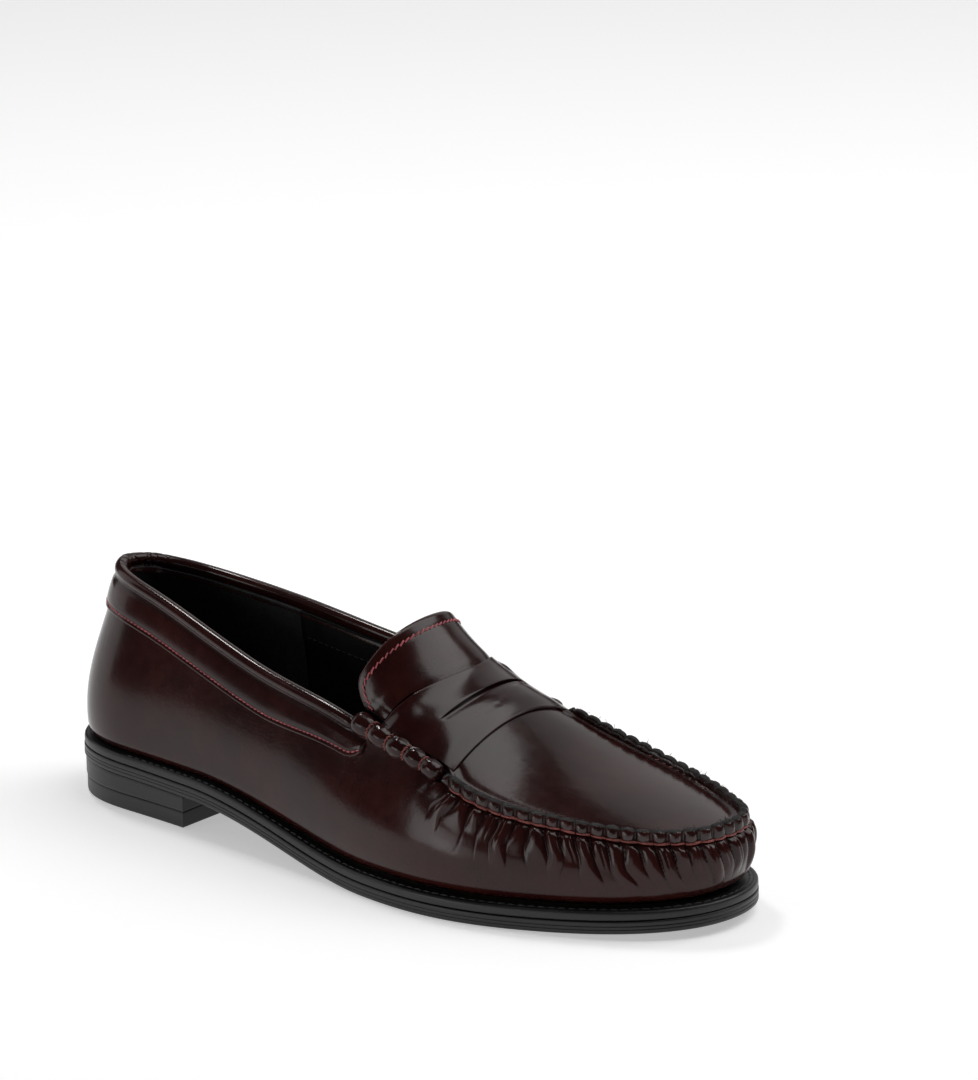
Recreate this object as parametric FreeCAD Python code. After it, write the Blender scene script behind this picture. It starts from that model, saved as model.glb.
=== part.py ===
import FreeCAD, Part
import bisect
import math
import os

V = FreeCAD.Vector

# Right shoe. +X points to the toe, +Y to the wearer's other foot (medial), +Z up.
# The origin is under the middle of the box round the shoe, on the ground.

# ---- driving dimensions, mm ----------------------------------------------------------
LENGTH = 270.0              # sole edge, heel back to toe tip
HEEL_WIDTH = 60.0           # sole edge across the heel
WAIST_WIDTH = 62.0          # sole edge across the waist
BALL_WIDTH = 95.0           # sole edge across the ball of the foot
HEEL_RISE = 11.6            # ground to outsole at the heel breast
HEEL_BACK_RISE = 1.7        # further rise of the outsole at the heel back
HEEL_LENGTH = 64.0          # heel back to heel breast
TOE_SPRING = 3.5            # ground to outsole at the toe tip
OUTSOLE_THICK = 4.4
WELT_THICK = 3.3
LIFT_THICK = 5.9            # rubber top lift under the heel
BACK_HEIGHT = 81.5          # ground to topline at the heel back
TONGUE_HEIGHT = 85.5        # ground to the tongue's top edge

UPPER_THICK = 1.4           # leather of wall, apron, strap and tongue
STIFFENER_THICK = 0.8       # heel counter and toe puff
LINING_THICK = 1.0
BAND_THICK = 1.2            # leather of the collar band and the back tab
BAND_WIDTH = 16.0           # collar band, top to stitch line
BAND_TAPER = 3.6            # how much narrower it is at its front ends
COLLAR_ROLL = 4.6           # diameter of the padded roll along the topline
ROLL_SEAT = 1.0             # how much deeper the wall's edge lies under the beef rolls
RIDGE_HEIGHT = 3.0          # upturned edges of the apron seam
RIDGE_THICK = 2.4
INSOLE_THICK = 2.0
SOCK_THICK = 1.0
PAD_THICK = 1.2             # heel pad, sunk in the insole board
PAD_LENGTH = 70.0
PAD_MARGIN = 4.0            # insole edge to pad edge
WELT_RING = 14.0            # width of the welt, sole edge inwards
SHANK_LENGTH = 100.0
SHANK_WIDTH = 12.0
SHANK_THICK = 1.2
SHANK_BEHIND = 0.35         # share of the shank behind the heel breast
NAIL_RADIUS = 0.9
NAIL_HEAD_RADIUS = 2.0
NAIL_HEAD_THICK = 0.6
NAIL_DEPTH = 1.2            # nail point above the top lift's upper face
NAILS_MIDDLE = 0.52         # the nails' horseshoe: middle and reach, shares of HEEL_LENGTH
NAILS_REACH = 0.22
NAILS_SPREAD = 0.19         # half its spread, share of HEEL_WIDTH
THREAD = 0.5                # thickness of the sewing threads
TONGUE_STITCH = 2.6         # tongue's edge to its stitching
BAND_STITCH = 1.6           # collar band's edge to its stitching
ROLL_REAR_RADIUS = 4.2      # beef roll at its rear end
ROLL_FRONT_RADIUS = 3.3     # beef roll at its front end
ROLL_LUMPS = 5
WRAP_RADIUS = 0.45          # thread wrapped round the beef rolls
SLOT_WIDTH = 44.0           # keeper slot in the strap, across the foot
SLOT_OPENING = 2.6
SLOT_BOW = 2.0              # how far the slot's ends lie behind its middle
SLOT_SHIFT = 2.0            # slot's middle to the crest, towards the lateral side
STRAP_MIDDLE = 20.0         # strap width on the instep
STRAP_SIDE = 13.0           # how much wider the strap grows towards each roll

# ---- clearances, mm --------------------------------------------------------------------
GLUE = 0.1                  # glue line between two layers
THREAD_GAP = 0.2            # thread to leather
EDGE_GAP = 0.6              # cut edge to the leather beside it
MOVE_GAP = 0.9              # tongue to strap, so that the tongue can hinge
HOLE_GAP = 0.05             # round a nail

# ---- places along the sole edge: 0 heel back, lateral side, 0.5 toe tip, medial side ----
COLLAR_END = 0.247          # lateral front end of the collar; the medial one mirrors it
ROLL_START = 0.251
ROLL_END = 0.319
SEAM_START = 0.327
SEAM_END = 0.675
MEDIAL_ROLL_START = 0.750
MEDIAL_ROLL_END = 0.683
COUNTER_END = 0.16
PUFF_HALF = 0.085
GRIP_END = 0.15
BACK_SEAM = 0.003           # gap between the wall's two ends at the heel back

# Sole edge: (share of LENGTH, share of half the local width), heel back to toe tip.
LATERAL_HEEL = ((0.0, 0.04), (0.011, -0.333), (0.037, -0.65), (0.0815, -0.86), (0.148, -0.943), (0.23, -1.01))
LATERAL_WAIST = ((0.315, -1.071), (0.407, -1.187))
LATERAL_FRONT = (
    (0.5, -0.874), (0.593, -0.973), (0.667, -1.0), (0.741, -0.943), (0.807, -0.834), (0.87, -0.695),
    (0.922, -0.539), (0.963, -0.349), (0.989, -0.137), (1.0, 0.147),
)
MEDIAL_FRONT = (
    (0.989, 0.432), (0.963, 0.632), (0.922, 0.789), (0.87, 0.901), (0.807, 0.952), (0.741, 0.926),
    (0.667, 0.825), (0.593, 0.695),
)
MEDIAL_WAIST = ((0.5, 0.871), (0.407, 0.806), (0.315, 0.871))
MEDIAL_HEEL = ((0.23, 1.0), (0.148, 1.033), (0.0815, 0.94), (0.037, 0.733), (0.011, 0.413))

# Topline and seam: how far in from the sole edge, and how far under BACK_HEIGHT.
TOP_INSET = (
    (0.0, 13.0), (0.04, 14.2), (0.08, 12.6), (0.12, 10.3), (0.18, 9.0), (0.235, 10.0), (0.262, 12.0),
    (0.29, 13.0), (0.315, 12.8), (0.34, 11.5), (0.38, 10.5), (0.43, 9.4), (0.47, 7.4), (0.5, 6.0),
    (0.54, 5.2), (0.58, 6.4), (0.62, 8.4), (0.66, 8.8), (0.69, 7.0), (0.72, 4.5), (0.76, 3.0),
    (0.80, 3.0), (0.84, 4.5), (0.88, 6.5), (0.92, 9.0), (0.96, 11.6),
)
TOP_FALL = (
    (0.0, 0.0), (0.04, 0.3), (0.075, 2.3), (0.11, 7.0), (0.15, 13.6), (0.19, 19.3), (0.235, 23.9),
    (0.262, 28.4), (0.285, 32.0), (0.315, 36.6), (0.34, 42.0), (0.37, 45.7), (0.42, 49.9),
    (0.47, 51.5), (0.52, 51.0), (0.57, 48.5), (0.61, 45.2), (0.64, 40.6), (0.67, 35.0),
    (0.70, 30.4), (0.735, 22.0), (0.765, 17.2), (0.80, 13.6), (0.85, 9.8), (0.90, 7.0),
    (0.95, 2.8), (0.98, 0.7),
)
LEDGE = ((0.0, 2.0), (0.1, 2.2), (0.2, 3.2), (0.33, 4.6), (0.5, 5.2), (0.67, 4.6), (0.8, 3.0), (0.9, 2.2))
WALL_FOOT_ANGLE = (
    (0.0, 80.0), (0.1, 80.0), (0.25, 68.0), (0.4, 58.0), (0.5, 60.0), (0.6, 58.0), (0.75, 66.0),
    (0.9, 80.0),
)
WALL_HEAD_ANGLE = (
    (0.0, 78.0), (0.1, 80.0), (0.25, 72.0), (0.35, 48.0), (0.5, 52.0), (0.65, 48.0), (0.75, 76.0),
    (0.9, 82.0),
)

# Instep and apron sections: share of LENGTH, then the height of the crest against
# TONGUE_HEIGHT, its place across, and each half's reach, drop and roundness in degrees.
CREST_FALL = (
    (0.507, -14.0), (0.54, -2.0), (0.563, 5.6), (0.585, 12.0), (0.604, 17.6), (0.637, 24.0), (0.678, 30.4),
    (0.741, 39.4), (0.815, 46.0), (0.907, 51.6), (1.0, 56.0),
)
CREST_Y = ((0.507, 0.0), (0.54, 0.5), (0.604, 3.0), (0.678, 7.0), (0.741, 8.0), (0.815, 8.0), (1.0, 7.0))
LATERAL_REACH = (
    (0.507, 29.5), (0.54, 30.0), (0.585, 34.0), (0.604, 36.0), (0.637, 39.0), (0.678, 41.0), (1.0, 41.0),
)
LATERAL_DROP = (
    (0.507, 48.0), (0.54, 36.2), (0.563, 29.5), (0.585, 24.0), (0.604, 20.0), (0.637, 15.0), (0.678, 12.2),
    (0.741, 9.8), (0.815, 8.6), (1.0, 9.0),
)
MEDIAL_REACH = ((0.507, 24.0), (0.54, 24.5), (0.604, 25.5), (0.637, 26.5), (0.678, 30.0), (1.0, 30.0))
MEDIAL_DROP = (
    (0.507, 41.0), (0.54, 30.5), (0.563, 23.0), (0.585, 17.0), (0.604, 13.0), (0.637, 11.0), (0.678, 10.5),
    (0.741, 6.7), (0.815, 5.5), (1.0, 6.0),
)
ROUNDNESS = (
    (0.507, 86.0), (0.54, 84.0), (0.563, 76.0), (0.585, 66.0), (0.604, 56.0), (0.637, 44.0), (0.678, 36.0),
    (1.0, 35.0),
)
WALL_FULLNESS = 0.36                # how far the wall's end angles reach, share of its span

STRAP_REAR = 0.604 * LENGTH         # rear edge of the strap on the crest, from the heel back
SLOT_PLACE = 0.641 * LENGTH         # keeper slot on the crest
TONGUE_EDGE = 0.549 * LENGTH        # top edge of the tongue on the crest
TONGUE_SWEEP = 15.0                 # how far the tongue's edge sweeps back down its sides
TONGUE_CORNER = 8.0                 # how far its rounded corner runs forward again
CORNER_START = 0.74                 # share of the side where that corner starts
CORNER_SPAN = 0.16
APRON_SLOPE = 1.12                  # upright height of a thickness square to the sloping apron
APRON_REAR = SLOT_PLACE - 5.0       # the apron runs on under the strap to here
BALL_START = 0.575 * LENGTH         # where the sole meets the ground behind the ball
BALL_END = 0.70 * LENGTH            # where it leaves the ground again

GRID_U = 140                # surface stations once round the shoe
GRID_V = 9                  # surface stations up the wall
OUTLINE_POINTS = 80


# ---- smooth lines -----------------------------------------------------------------------
class Curve:
    """Smooth line through (place, value) pairs. A closed one repeats after one turn."""

    def __init__(self, pairs, closed=False):
        self.closed = closed
        pairs = list(pairs)
        if closed:
            before = [(p - 1.0, v) for p, v in pairs[-4:]]
            after = [(p + 1.0, v) for p, v in pairs[:4]]
            pairs = before + pairs + after
        self.places = [p for p, _ in pairs]
        self.values = [v for _, v in pairs]
        self.bends = self.solve_bends()

    def solve_bends(self):
        x, y = self.places, self.values
        count = len(x)
        upper = [0.0] * count
        right = [0.0] * count
        for i in range(1, count - 1):
            left_gap, right_gap = x[i] - x[i - 1], x[i + 1] - x[i]
            slope_change = (y[i + 1] - y[i]) / right_gap - (y[i] - y[i - 1]) / left_gap
            pivot = 2.0 * (left_gap + right_gap) - left_gap * upper[i - 1]
            upper[i] = right_gap / pivot
            right[i] = (6.0 * slope_change - left_gap * right[i - 1]) / pivot
        bends = [0.0] * count
        for i in range(count - 2, 0, -1):
            bends[i] = right[i] - upper[i] * bends[i + 1]
        return bends

    def __call__(self, place):
        if self.closed:
            place = place % 1.0
        x, y, m = self.places, self.values, self.bends
        place = min(max(place, x[0]), x[-1])
        i = min(max(bisect.bisect_right(x, place) - 1, 0), len(x) - 2)
        gap = x[i + 1] - x[i]
        a, b = (x[i + 1] - place) / gap, (place - x[i]) / gap
        return a * y[i] + b * y[i + 1] + ((a ** 3 - a) * m[i] + (b ** 3 - b) * m[i + 1]) * gap * gap / 6.0


def sole_edge_points():
    """Points of the sole edge from the heel back, measured from the heel back's corner."""
    zones = (
        (LATERAL_HEEL, HEEL_WIDTH), (LATERAL_WAIST, WAIST_WIDTH), (LATERAL_FRONT, BALL_WIDTH),
        (MEDIAL_FRONT, BALL_WIDTH), (MEDIAL_WAIST, WAIST_WIDTH), (MEDIAL_HEEL, HEEL_WIDTH),
    )
    return [(s * LENGTH, t * width / 2.0) for zone, width in zones for s, t in zone]


def sole_edge_curves():
    """The sole edge as two closed curves over the place along it."""
    points = sole_edge_points()
    toe = max(range(len(points)), key=lambda i: points[i][0])
    steps = [math.dist(points[i], points[(i + 1) % len(points)]) for i in range(len(points))]
    to_toe, from_toe = sum(steps[:toe]), sum(steps[toe:])
    places, run = [], 0.0
    for i in range(len(points)):
        places.append(0.5 * run / to_toe if i <= toe else 0.5 + 0.5 * (run - to_toe) / from_toe)
        run += steps[i]
    along = Curve([(p, q[0]) for p, q in zip(places, points)], closed=True)
    across = Curve([(p, q[1]) for p, q in zip(places, points)], closed=True)
    return along, across


ALONG, ACROSS = sole_edge_curves()
EDGE_SAMPLES = [(ALONG(i / 720.0), ACROSS(i / 720.0)) for i in range(720)]
MIDDLE_X = (min(p[0] for p in EDGE_SAMPLES) + max(p[0] for p in EDGE_SAMPLES)) / 2.0
MIDDLE_Y = (min(p[1] for p in EDGE_SAMPLES) + max(p[1] for p in EDGE_SAMPLES)) / 2.0

top_inset = Curve(TOP_INSET, closed=True)
top_fall = Curve(TOP_FALL, closed=True)
ledge = Curve(LEDGE, closed=True)
foot_angle = Curve(WALL_FOOT_ANGLE, closed=True)
head_angle = Curve(WALL_HEAD_ANGLE, closed=True)
crest_fall = Curve(CREST_FALL)
crest_y = Curve(CREST_Y)
lateral_reach, lateral_drop = Curve(LATERAL_REACH), Curve(LATERAL_DROP)
medial_reach, medial_drop = Curve(MEDIAL_REACH), Curve(MEDIAL_DROP)
roundness = Curve(ROUNDNESS)


def place(x, y, z):
    """A point measured from the heel back, in the shoe's own frame."""
    return V(x - MIDDLE_X, y - MIDDLE_Y, z)


def smooth_step(a, b, t):
    s = min(max((t - a) / (b - a), 0.0), 1.0)
    return s * s * (3.0 - 2.0 * s)


def edge_point(u, inset):
    """Plan point inside the sole edge, and the outward direction there."""
    step = 0.002
    dx = ALONG(u + step) - ALONG(u - step)
    dy = ACROSS(u + step) - ACROSS(u - step)
    size = math.hypot(dx, dy)
    out_x, out_y = dy / size, -dx / size
    return ALONG(u) - out_x * inset, ACROSS(u) - out_y * inset, out_x, out_y


def underside(x):
    """Height of the outsole's underside at x from the heel back."""
    if x < HEEL_LENGTH:
        return HEEL_RISE + HEEL_BACK_RISE * (1.0 - x / HEEL_LENGTH)
    if x < BALL_START:
        turn = math.pi * (x - HEEL_LENGTH) / (BALL_START - HEEL_LENGTH)
        return HEEL_RISE * (0.5 + 0.5 * math.cos(turn))
    if x < BALL_END:
        return 0.0
    return TOE_SPRING * ((x - BALL_END) / (LENGTH - BALL_END)) ** 2


WELT_TOP = OUTSOLE_THICK + WELT_THICK


# ---- shape of the upper -------------------------------------------------------------------
def arch_point(x, s):
    """Point of the instep and apron at x from the heel back; s runs -1 lateral to 1 medial."""
    share = x / LENGTH
    full = math.radians(roundness(share))
    reach = lateral_reach(share) if s < 0 else medial_reach(share)
    drop = lateral_drop(share) if s < 0 else medial_drop(share)
    y = crest_y(share) + math.copysign(reach * math.sin(abs(s) * full) / math.sin(full), s)
    z = TONGUE_HEIGHT - crest_fall(share) - drop * (1.0 - math.cos(s * full)) / (1.0 - math.cos(full))
    return V(x, y, z)


def apron_height(x, y):
    """Height of the same surface over a plan point."""
    share = x / LENGTH
    full = math.radians(roundness(share))
    off = y - crest_y(share)
    reach = lateral_reach(share) if off < 0 else medial_reach(share)
    drop = lateral_drop(share) if off < 0 else medial_drop(share)
    sine = min(abs(off) / reach * math.sin(full), 0.98)
    cosine = math.sqrt(1.0 - sine * sine)
    return TONGUE_HEIGHT - crest_fall(share) - drop * (1.0 - cosine) / (1.0 - math.cos(full))


def top_point(u):
    """Topline, roll line or seam at u: plan point and height."""
    x, y, _, _ = edge_point(u, top_inset(u))
    height = BACK_HEIGHT - top_fall(u)
    u = u % 1.0
    begun = smooth_step(ROLL_END - 0.01, SEAM_START + 0.02, u)
    ended = smooth_step(SEAM_END - 0.02, SEAM_END + 0.02, u)
    seam = begun * (1.0 - ended)
    if seam > 0.0:
        height = seam * apron_height(x, y) + (1.0 - seam) * height
    return x, y, height


def wall_curve(u, t):
    """Outer face of the wall at u, t from 0 at the welt to 1 at the top."""
    inset_foot, inset_head = ledge(u), top_inset(u)
    x, y, out_x, out_y = edge_point(u, inset_foot)
    foot = underside(x) + WELT_TOP + GLUE
    _, _, head = top_point(u)
    rise = head - foot
    reach = WALL_FULLNESS * math.hypot(rise, inset_head - inset_foot)
    a, b = math.radians(foot_angle(u)), math.radians(head_angle(u))
    outs = (0.0, reach * math.cos(a), inset_foot - inset_head + reach * math.cos(b), inset_foot - inset_head)
    ups = (0.0, reach * math.sin(a), rise - reach * math.sin(b), rise)
    w = ((1 - t) ** 3, 3 * t * (1 - t) ** 2, 3 * t * t * (1 - t), t ** 3)
    out = sum(c * k for c, k in zip(outs, w))
    up = sum(c * k for c, k in zip(ups, w))
    return V(x + out_x * out, y + out_y * out, foot + up)


def wall_share(u, below):
    """The t that lies a length `below` under the top of the wall."""
    steps = 24
    last, run = wall_curve(u, 1.0), 0.0
    for i in range(1, steps + 1):
        t = 1.0 - i / steps
        point = wall_curve(u, t)
        step = point.distanceToPoint(last)
        if run + step >= below:
            return t + (run + step - below) / step / steps
        last, run = point, run + step
    return 0.0


def wall_point(u, t, depth):
    """Wall point sunk `depth` into the shoe, square to its outer face."""
    du, dt = 0.002, 0.01
    low, high = max(t - dt, 0.0), min(t + dt, 1.0)
    round_way = wall_curve(u + du, t) - wall_curve(u - du, t)
    up_way = wall_curve(u, high) - wall_curve(u, low)
    normal = round_way.cross(up_way)
    normal.normalize()
    point = wall_curve(u, t) - normal * depth
    return place(point.x, point.y, point.z)


def arch_normal_point(x, s, lift):
    """Instep point raised `lift` square to the surface."""
    dx, ds = 0.5, 0.01
    along = arch_point(x + dx, s) - arch_point(x - dx, s)
    across = arch_point(x, min(s + ds, 1.0)) - arch_point(x, max(s - ds, -1.0))
    normal = along.cross(across)
    normal.normalize()
    point = arch_point(x, s) + normal * lift
    return place(point.x, point.y, point.z)


# ---- solids ---------------------------------------------------------------------------------
def surface(rows):
    face = Part.BSplineSurface()
    face.interpolate(rows)
    return face


def slab(outer, inner):
    """Closed sheet between two grids of points with the same number of rows and columns."""
    first, second = surface(outer), surface(inner)
    faces = [first.toShape(), second.toShape()]
    for a, b in zip(border(first), border(second)):
        faces.append(Part.makeRuledSurface(a, b))
    shell = Part.makeShell(faces)
    shell.sewShape()
    solid = Part.makeSolid(Part.Shell(shell.Faces))
    if solid.Volume < 0:
        solid.reverse()
    return solid


def border(face):
    u0, u1, v0, v1 = face.bounds()
    curves = (face.uIso(u0), face.uIso(u1), face.vIso(v0), face.vIso(v1))
    return [curve.toShape() for curve in curves]


def spread(a, b, count):
    return [a + (b - a) * i / (count - 1.0) for i in range(count)]


def stations(a, b, count):
    """Even places from a to b, with closer ones at both ends, where a surface is least held."""
    gap = (b - a) / (count - 1.0)
    even = spread(a, b, count)
    return [even[0], a + 0.12 * gap, a + 0.45 * gap] + even[1:-1] + [b - 0.45 * gap, b - 0.12 * gap, even[-1]]


def wall_sheet(u0, u1, low, high, depth0, depth1, rows=GRID_V):
    """Sheet that follows the wall from u0 to u1, between low(u) and high(u) shares of it."""
    count = max(8, int(abs(u1 - u0) * GRID_U) + 1)
    grids = []
    for depth in (depth0, depth1):
        grid = []
        for u in stations(u0, u1, count):
            grid.append([wall_point(u, t, depth) for t in spread(low(u), high(u), rows)])
        grids.append(grid)
    return slab(*grids)


def plan_prism(inset, z0, z1, count=OUTLINE_POINTS):
    """Upright prism over the sole edge drawn in by inset(u)."""
    points = []
    for i in range(count):
        u = i / count
        x, y, _, _ = edge_point(u, inset(u))
        points.append(place(x, y, z0))
    edge = Part.BSplineCurve()
    edge.interpolate(points, PeriodicFlag=True)
    return Part.Face(Part.Wire(edge.toShape())).extrude(V(0, 0, z1 - z0))


def profile_edges(start, end, rise):
    """The sole's side profile, raised, as edges from x=start to x=end."""
    breaks = [start] + [b for b in (HEEL_LENGTH, BALL_START, BALL_END) if start < b < end] + [end]
    edges = []
    for a, b in zip(breaks, breaks[1:]):
        middle = (a + b) / 2.0
        if HEEL_LENGTH < middle < BALL_START or middle > BALL_END:
            curve = Part.BSplineCurve()
            curve.interpolate([place(x, 0, underside(x) + rise) for x in spread(a, b, 12)])
            edges.append(curve.toShape())
        else:
            low, high = underside(a + 1e-6) + rise, underside(b - 1e-6) + rise
            edges.append(Part.makeLine(place(a, 0, low), place(b, 0, high)))
    return edges


def profile_plate(start, end, low, high, half_width):
    """Plate that follows the sole's side profile between two rises, x=start to x=end."""
    bottom, top = profile_edges(start, end, low), profile_edges(start, end, high)
    ends = [
        Part.makeLine(bottom[0].firstVertex().Point, top[0].firstVertex().Point),
        Part.makeLine(bottom[-1].lastVertex().Point, top[-1].lastVertex().Point),
    ]
    wire = Part.Wire(Part.__sortEdges__(bottom + top + ends))
    face = Part.Face(wire)
    face.translate(V(0, -half_width, 0))
    return face.extrude(V(0, 2.0 * half_width, 0))


def sole_layer(inset, low, high, start=-5.0, end=None):
    """Layer of the sole: the side profile between two rises, cut to the plan outline."""
    end = LENGTH + 5.0 if end is None else end
    plate = profile_plate(start, end, low, high, BALL_WIDTH)
    return one(plate.common(plan_prism(inset, -20.0, 60.0)))


def one(shape):
    """The largest solid of a result."""
    return max(shape.Solids, key=lambda s: s.Volume)


def tube(centres, radii, straight=False):
    """Round body through circles square to its path, with straight runs between them if asked."""
    wires = []
    for i, centre in enumerate(centres):
        ahead = centres[min(i + 1, len(centres) - 1)]
        behind = centres[max(i - 1, 0)]
        circle = Part.makeCircle(radii[i], centre, ahead - behind)
        wires.append(Part.Wire(circle))
    return Part.makeLoft(wires, True, straight)


# ---- sole ---------------------------------------------------------------------------------
def level(value):
    return lambda u: value


def heel_plan(inset, z0, z1):
    breast = place(HEEL_LENGTH, 0, 0).x
    front = Part.makeBox(LENGTH, 4 * HEEL_WIDTH, 80.0, V(breast, -2 * HEEL_WIDTH, -20.0))
    return one(plan_prism(level(inset), z0, z1).cut(front))


def nail_places():
    """Five heel nails in a horseshoe."""
    for turn in (-100, -50, 0, 50, 100):
        a = math.radians(turn)
        x = NAILS_MIDDLE * HEEL_LENGTH - NAILS_REACH * HEEL_LENGTH * math.cos(a)
        yield x, NAILS_SPREAD * HEEL_WIDTH * math.sin(a)


def nails(extra=0.0):
    """Heel nails from the insole board down into the heel block."""
    bodies = []
    for x, y in nail_places():
        top = underside(x) + WELT_TOP + GLUE + INSOLE_THICK - PAD_THICK - GLUE
        foot = place(x, y, LIFT_THICK + NAIL_DEPTH - extra)
        shaft = Part.makeCylinder(NAIL_RADIUS + extra, top - foot.z, foot)
        seat = place(x, y, top - NAIL_HEAD_THICK - extra)
        head = Part.makeCylinder(NAIL_HEAD_RADIUS + extra, NAIL_HEAD_THICK + extra, seat)
        bodies.append(shaft.fuse(head).removeSplitter())
    return bodies


def outsole():
    return sole_layer(level(0.0), 0.0, OUTSOLE_THICK)


def welt():
    ring = sole_layer(level(0.15), OUTSOLE_THICK + GLUE, WELT_TOP)
    return one(ring.cut(plan_prism(level(WELT_RING), -20.0, 60.0)))


def shank(extra=0.0):
    start = HEEL_LENGTH - SHANK_BEHIND * SHANK_LENGTH
    low = OUTSOLE_THICK + GLUE + (WELT_THICK - SHANK_THICK) / 2.0
    end, high, half = start + SHANK_LENGTH + extra, low + SHANK_THICK + extra, SHANK_WIDTH / 2.0 + extra
    return profile_plate(start - extra, end, low - extra, high, half)


def cork_filler():
    body = sole_layer(level(WELT_RING + GLUE), OUTSOLE_THICK + GLUE, WELT_TOP)
    return one(body.cut(shank(GLUE)))


def insole_inset(u):
    return ledge(u) + UPPER_THICK + STIFFENER_THICK + LINING_THICK + 2 * GLUE + EDGE_GAP


def pad_pocket(extra):
    low = WELT_TOP + GLUE + INSOLE_THICK - PAD_THICK
    return sole_layer(lambda u: insole_inset(u) + PAD_MARGIN - extra, low - extra, low + PAD_THICK + extra, end=PAD_LENGTH + extra)


def insole_board():
    body = sole_layer(insole_inset, WELT_TOP + GLUE, WELT_TOP + GLUE + INSOLE_THICK)
    return one(body.cut(pad_pocket(GLUE)))


def sock_liner():
    low = WELT_TOP + 2 * GLUE + INSOLE_THICK
    return sole_layer(lambda u: insole_inset(u) + 0.3, low, low + SOCK_THICK)


def heel_block():
    under = profile_plate(-5.0, HEEL_LENGTH, -HEEL_RISE - 5.0, -GLUE, BALL_WIDTH)
    body = heel_plan(0.5, LIFT_THICK + GLUE, 40.0)
    return one(body.common(under))


def top_lift():
    return heel_plan(0.8, 0.0, LIFT_THICK)


def welt_thread():
    """Lockstitch on the welt's ledge, round the front and sides."""
    grids = []
    for rise in (THREAD_GAP, THREAD_GAP + THREAD):
        grid = []
        for u in spread(0.1, 0.9, 60):
            row = []
            for side in (0.0, THREAD):
                x, y, _, _ = edge_point(u, ledge(u) * 0.5 + side)
                row.append(place(x, y, underside(x) + WELT_TOP + rise))
            grid.append(row)
        grids.append(grid)
    return flat_slab(grids[1], grids[0])


def flat_slab(outer, inner):
    """Ribbon of two points across, thickened to three so that its surface can be drawn."""
    def widen(grid):
        return [[row[0], (row[0] + row[1]) * 0.5, row[1]] for row in grid]
    return slab(widen(outer), widen(inner))


# ---- upper -----------------------------------------------------------------------------------
def wall_top(u):
    """Share of the wall where its leather ends: under the collar roll and the beef rolls."""
    turn = u % 1.0
    lateral = 1.0 - smooth_step(ROLL_END + 0.001, SEAM_START + 0.003, turn)
    medial = smooth_step(SEAM_END - 0.003, MEDIAL_ROLL_END - 0.001, turn)
    past_collar = smooth_step(COLLAR_END - 0.01, ROLL_START, turn)
    at_roll = past_collar * (1.0 - smooth_step(MEDIAL_ROLL_START, 1.01 - COLLAR_END, turn))
    return wall_share(u, (lateral + medial) * (COLLAR_ROLL + ROLL_SEAT * at_roll))


def wall():
    return wall_sheet(BACK_SEAM / 2.0, 1.0 - BACK_SEAM / 2.0, level(0.0), wall_top, 0.0, UPPER_THICK)


def seam_plan(inset):
    """Prism over the apron: the seam line drawn in, straight across under the strap."""
    points = []
    for u in spread(SEAM_START - 0.045, SEAM_END + 0.03, 60):
        lateral = 1.0 - smooth_step(ROLL_END, SEAM_START + 0.004, u)
        medial = smooth_step(SEAM_END - 0.004, MEDIAL_ROLL_END, u)
        x, y, _, _ = edge_point(u, top_inset(u) + inset + ROLL_REAR_RADIUS * (lateral + medial))
        points.append(place(x, y, 0.0))
    edge = Part.BSplineCurve()
    edge.interpolate(points)
    close = Part.makeLine(points[-1], points[0])
    return Part.Face(Part.Wire([edge.toShape(), close])).extrude(V(0, 0, 120.0))


def apron_slab(low, high, inset):
    """Layer of the apron between two depths under its outer face."""
    xs = spread(APRON_REAR, LENGTH - 4.0, 15)
    ys = spread(-0.44 * BALL_WIDTH, 0.44 * BALL_WIDTH, 15)
    grids = [[[place(x, y, apron_height(x, y) - depth) for y in ys] for x in xs] for depth in (high, low)]
    return one(slab(grids[1], grids[0]).common(seam_plan(inset)))


def upright(depth):
    """A thickness square to the apron, as the height it takes on the apron's slope."""
    return depth * APRON_SLOPE


def apron():
    return apron_slab(0.0, upright(UPPER_THICK), RIDGE_THICK - 0.5)


def apron_lining():
    return apron_slab(upright(UPPER_THICK + GLUE), upright(UPPER_THICK + GLUE + LINING_THICK), 5.0)


def seam_ridge():
    """Upturned raw edges of wall and apron along the seam."""
    grids = []
    for side in (0.7, 0.7 - RIDGE_THICK):
        grid = []
        for u in spread(SEAM_START, SEAM_END, 50):
            x, y, out_x, out_y = edge_point(u, top_inset(u))
            _, _, z = top_point(u)
            row = [place(x + out_x * side, y + out_y * side, z + 2 * GLUE + h) for h in (0.0, RIDGE_HEIGHT)]
            grid.append(row)
        grids.append(grid)
    return flat_slab(*grids)


def seam_thread():
    """Thread along the outer foot of the apron seam."""
    below = 1.6
    low = lambda u: wall_share(u, below + THREAD)
    high = lambda u: wall_share(u, below)
    return wall_sheet(SEAM_START, SEAM_END, low, high, -THREAD_GAP - THREAD, -THREAD_GAP, rows=3)


def strap_rear(s):
    return STRAP_REAR - STRAP_SIDE * s * s


def strap_front(s):
    return STRAP_REAR + STRAP_MIDDLE


def instep_sheet(rear, front, reach, low, high, rows=9):
    """Sheet on the instep from rear(s) to front(s), s over its reach, between two lifts."""
    grids = []
    for lift in (high, low):
        grid = []
        for s in spread(reach[0], reach[1], 25):
            grid.append([arch_normal_point(x, s, lift) for x in spread(rear(s), front(s), rows)])
        grids.append(grid)
    return slab(*grids)


STRAP_REACH = (-0.83, 0.73)     # share of each half of the arch, lateral and medial
TONGUE_REACH = (-0.86, 0.73)


def narrower(reach, by):
    return reach[0] + by, reach[1] - by


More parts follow.
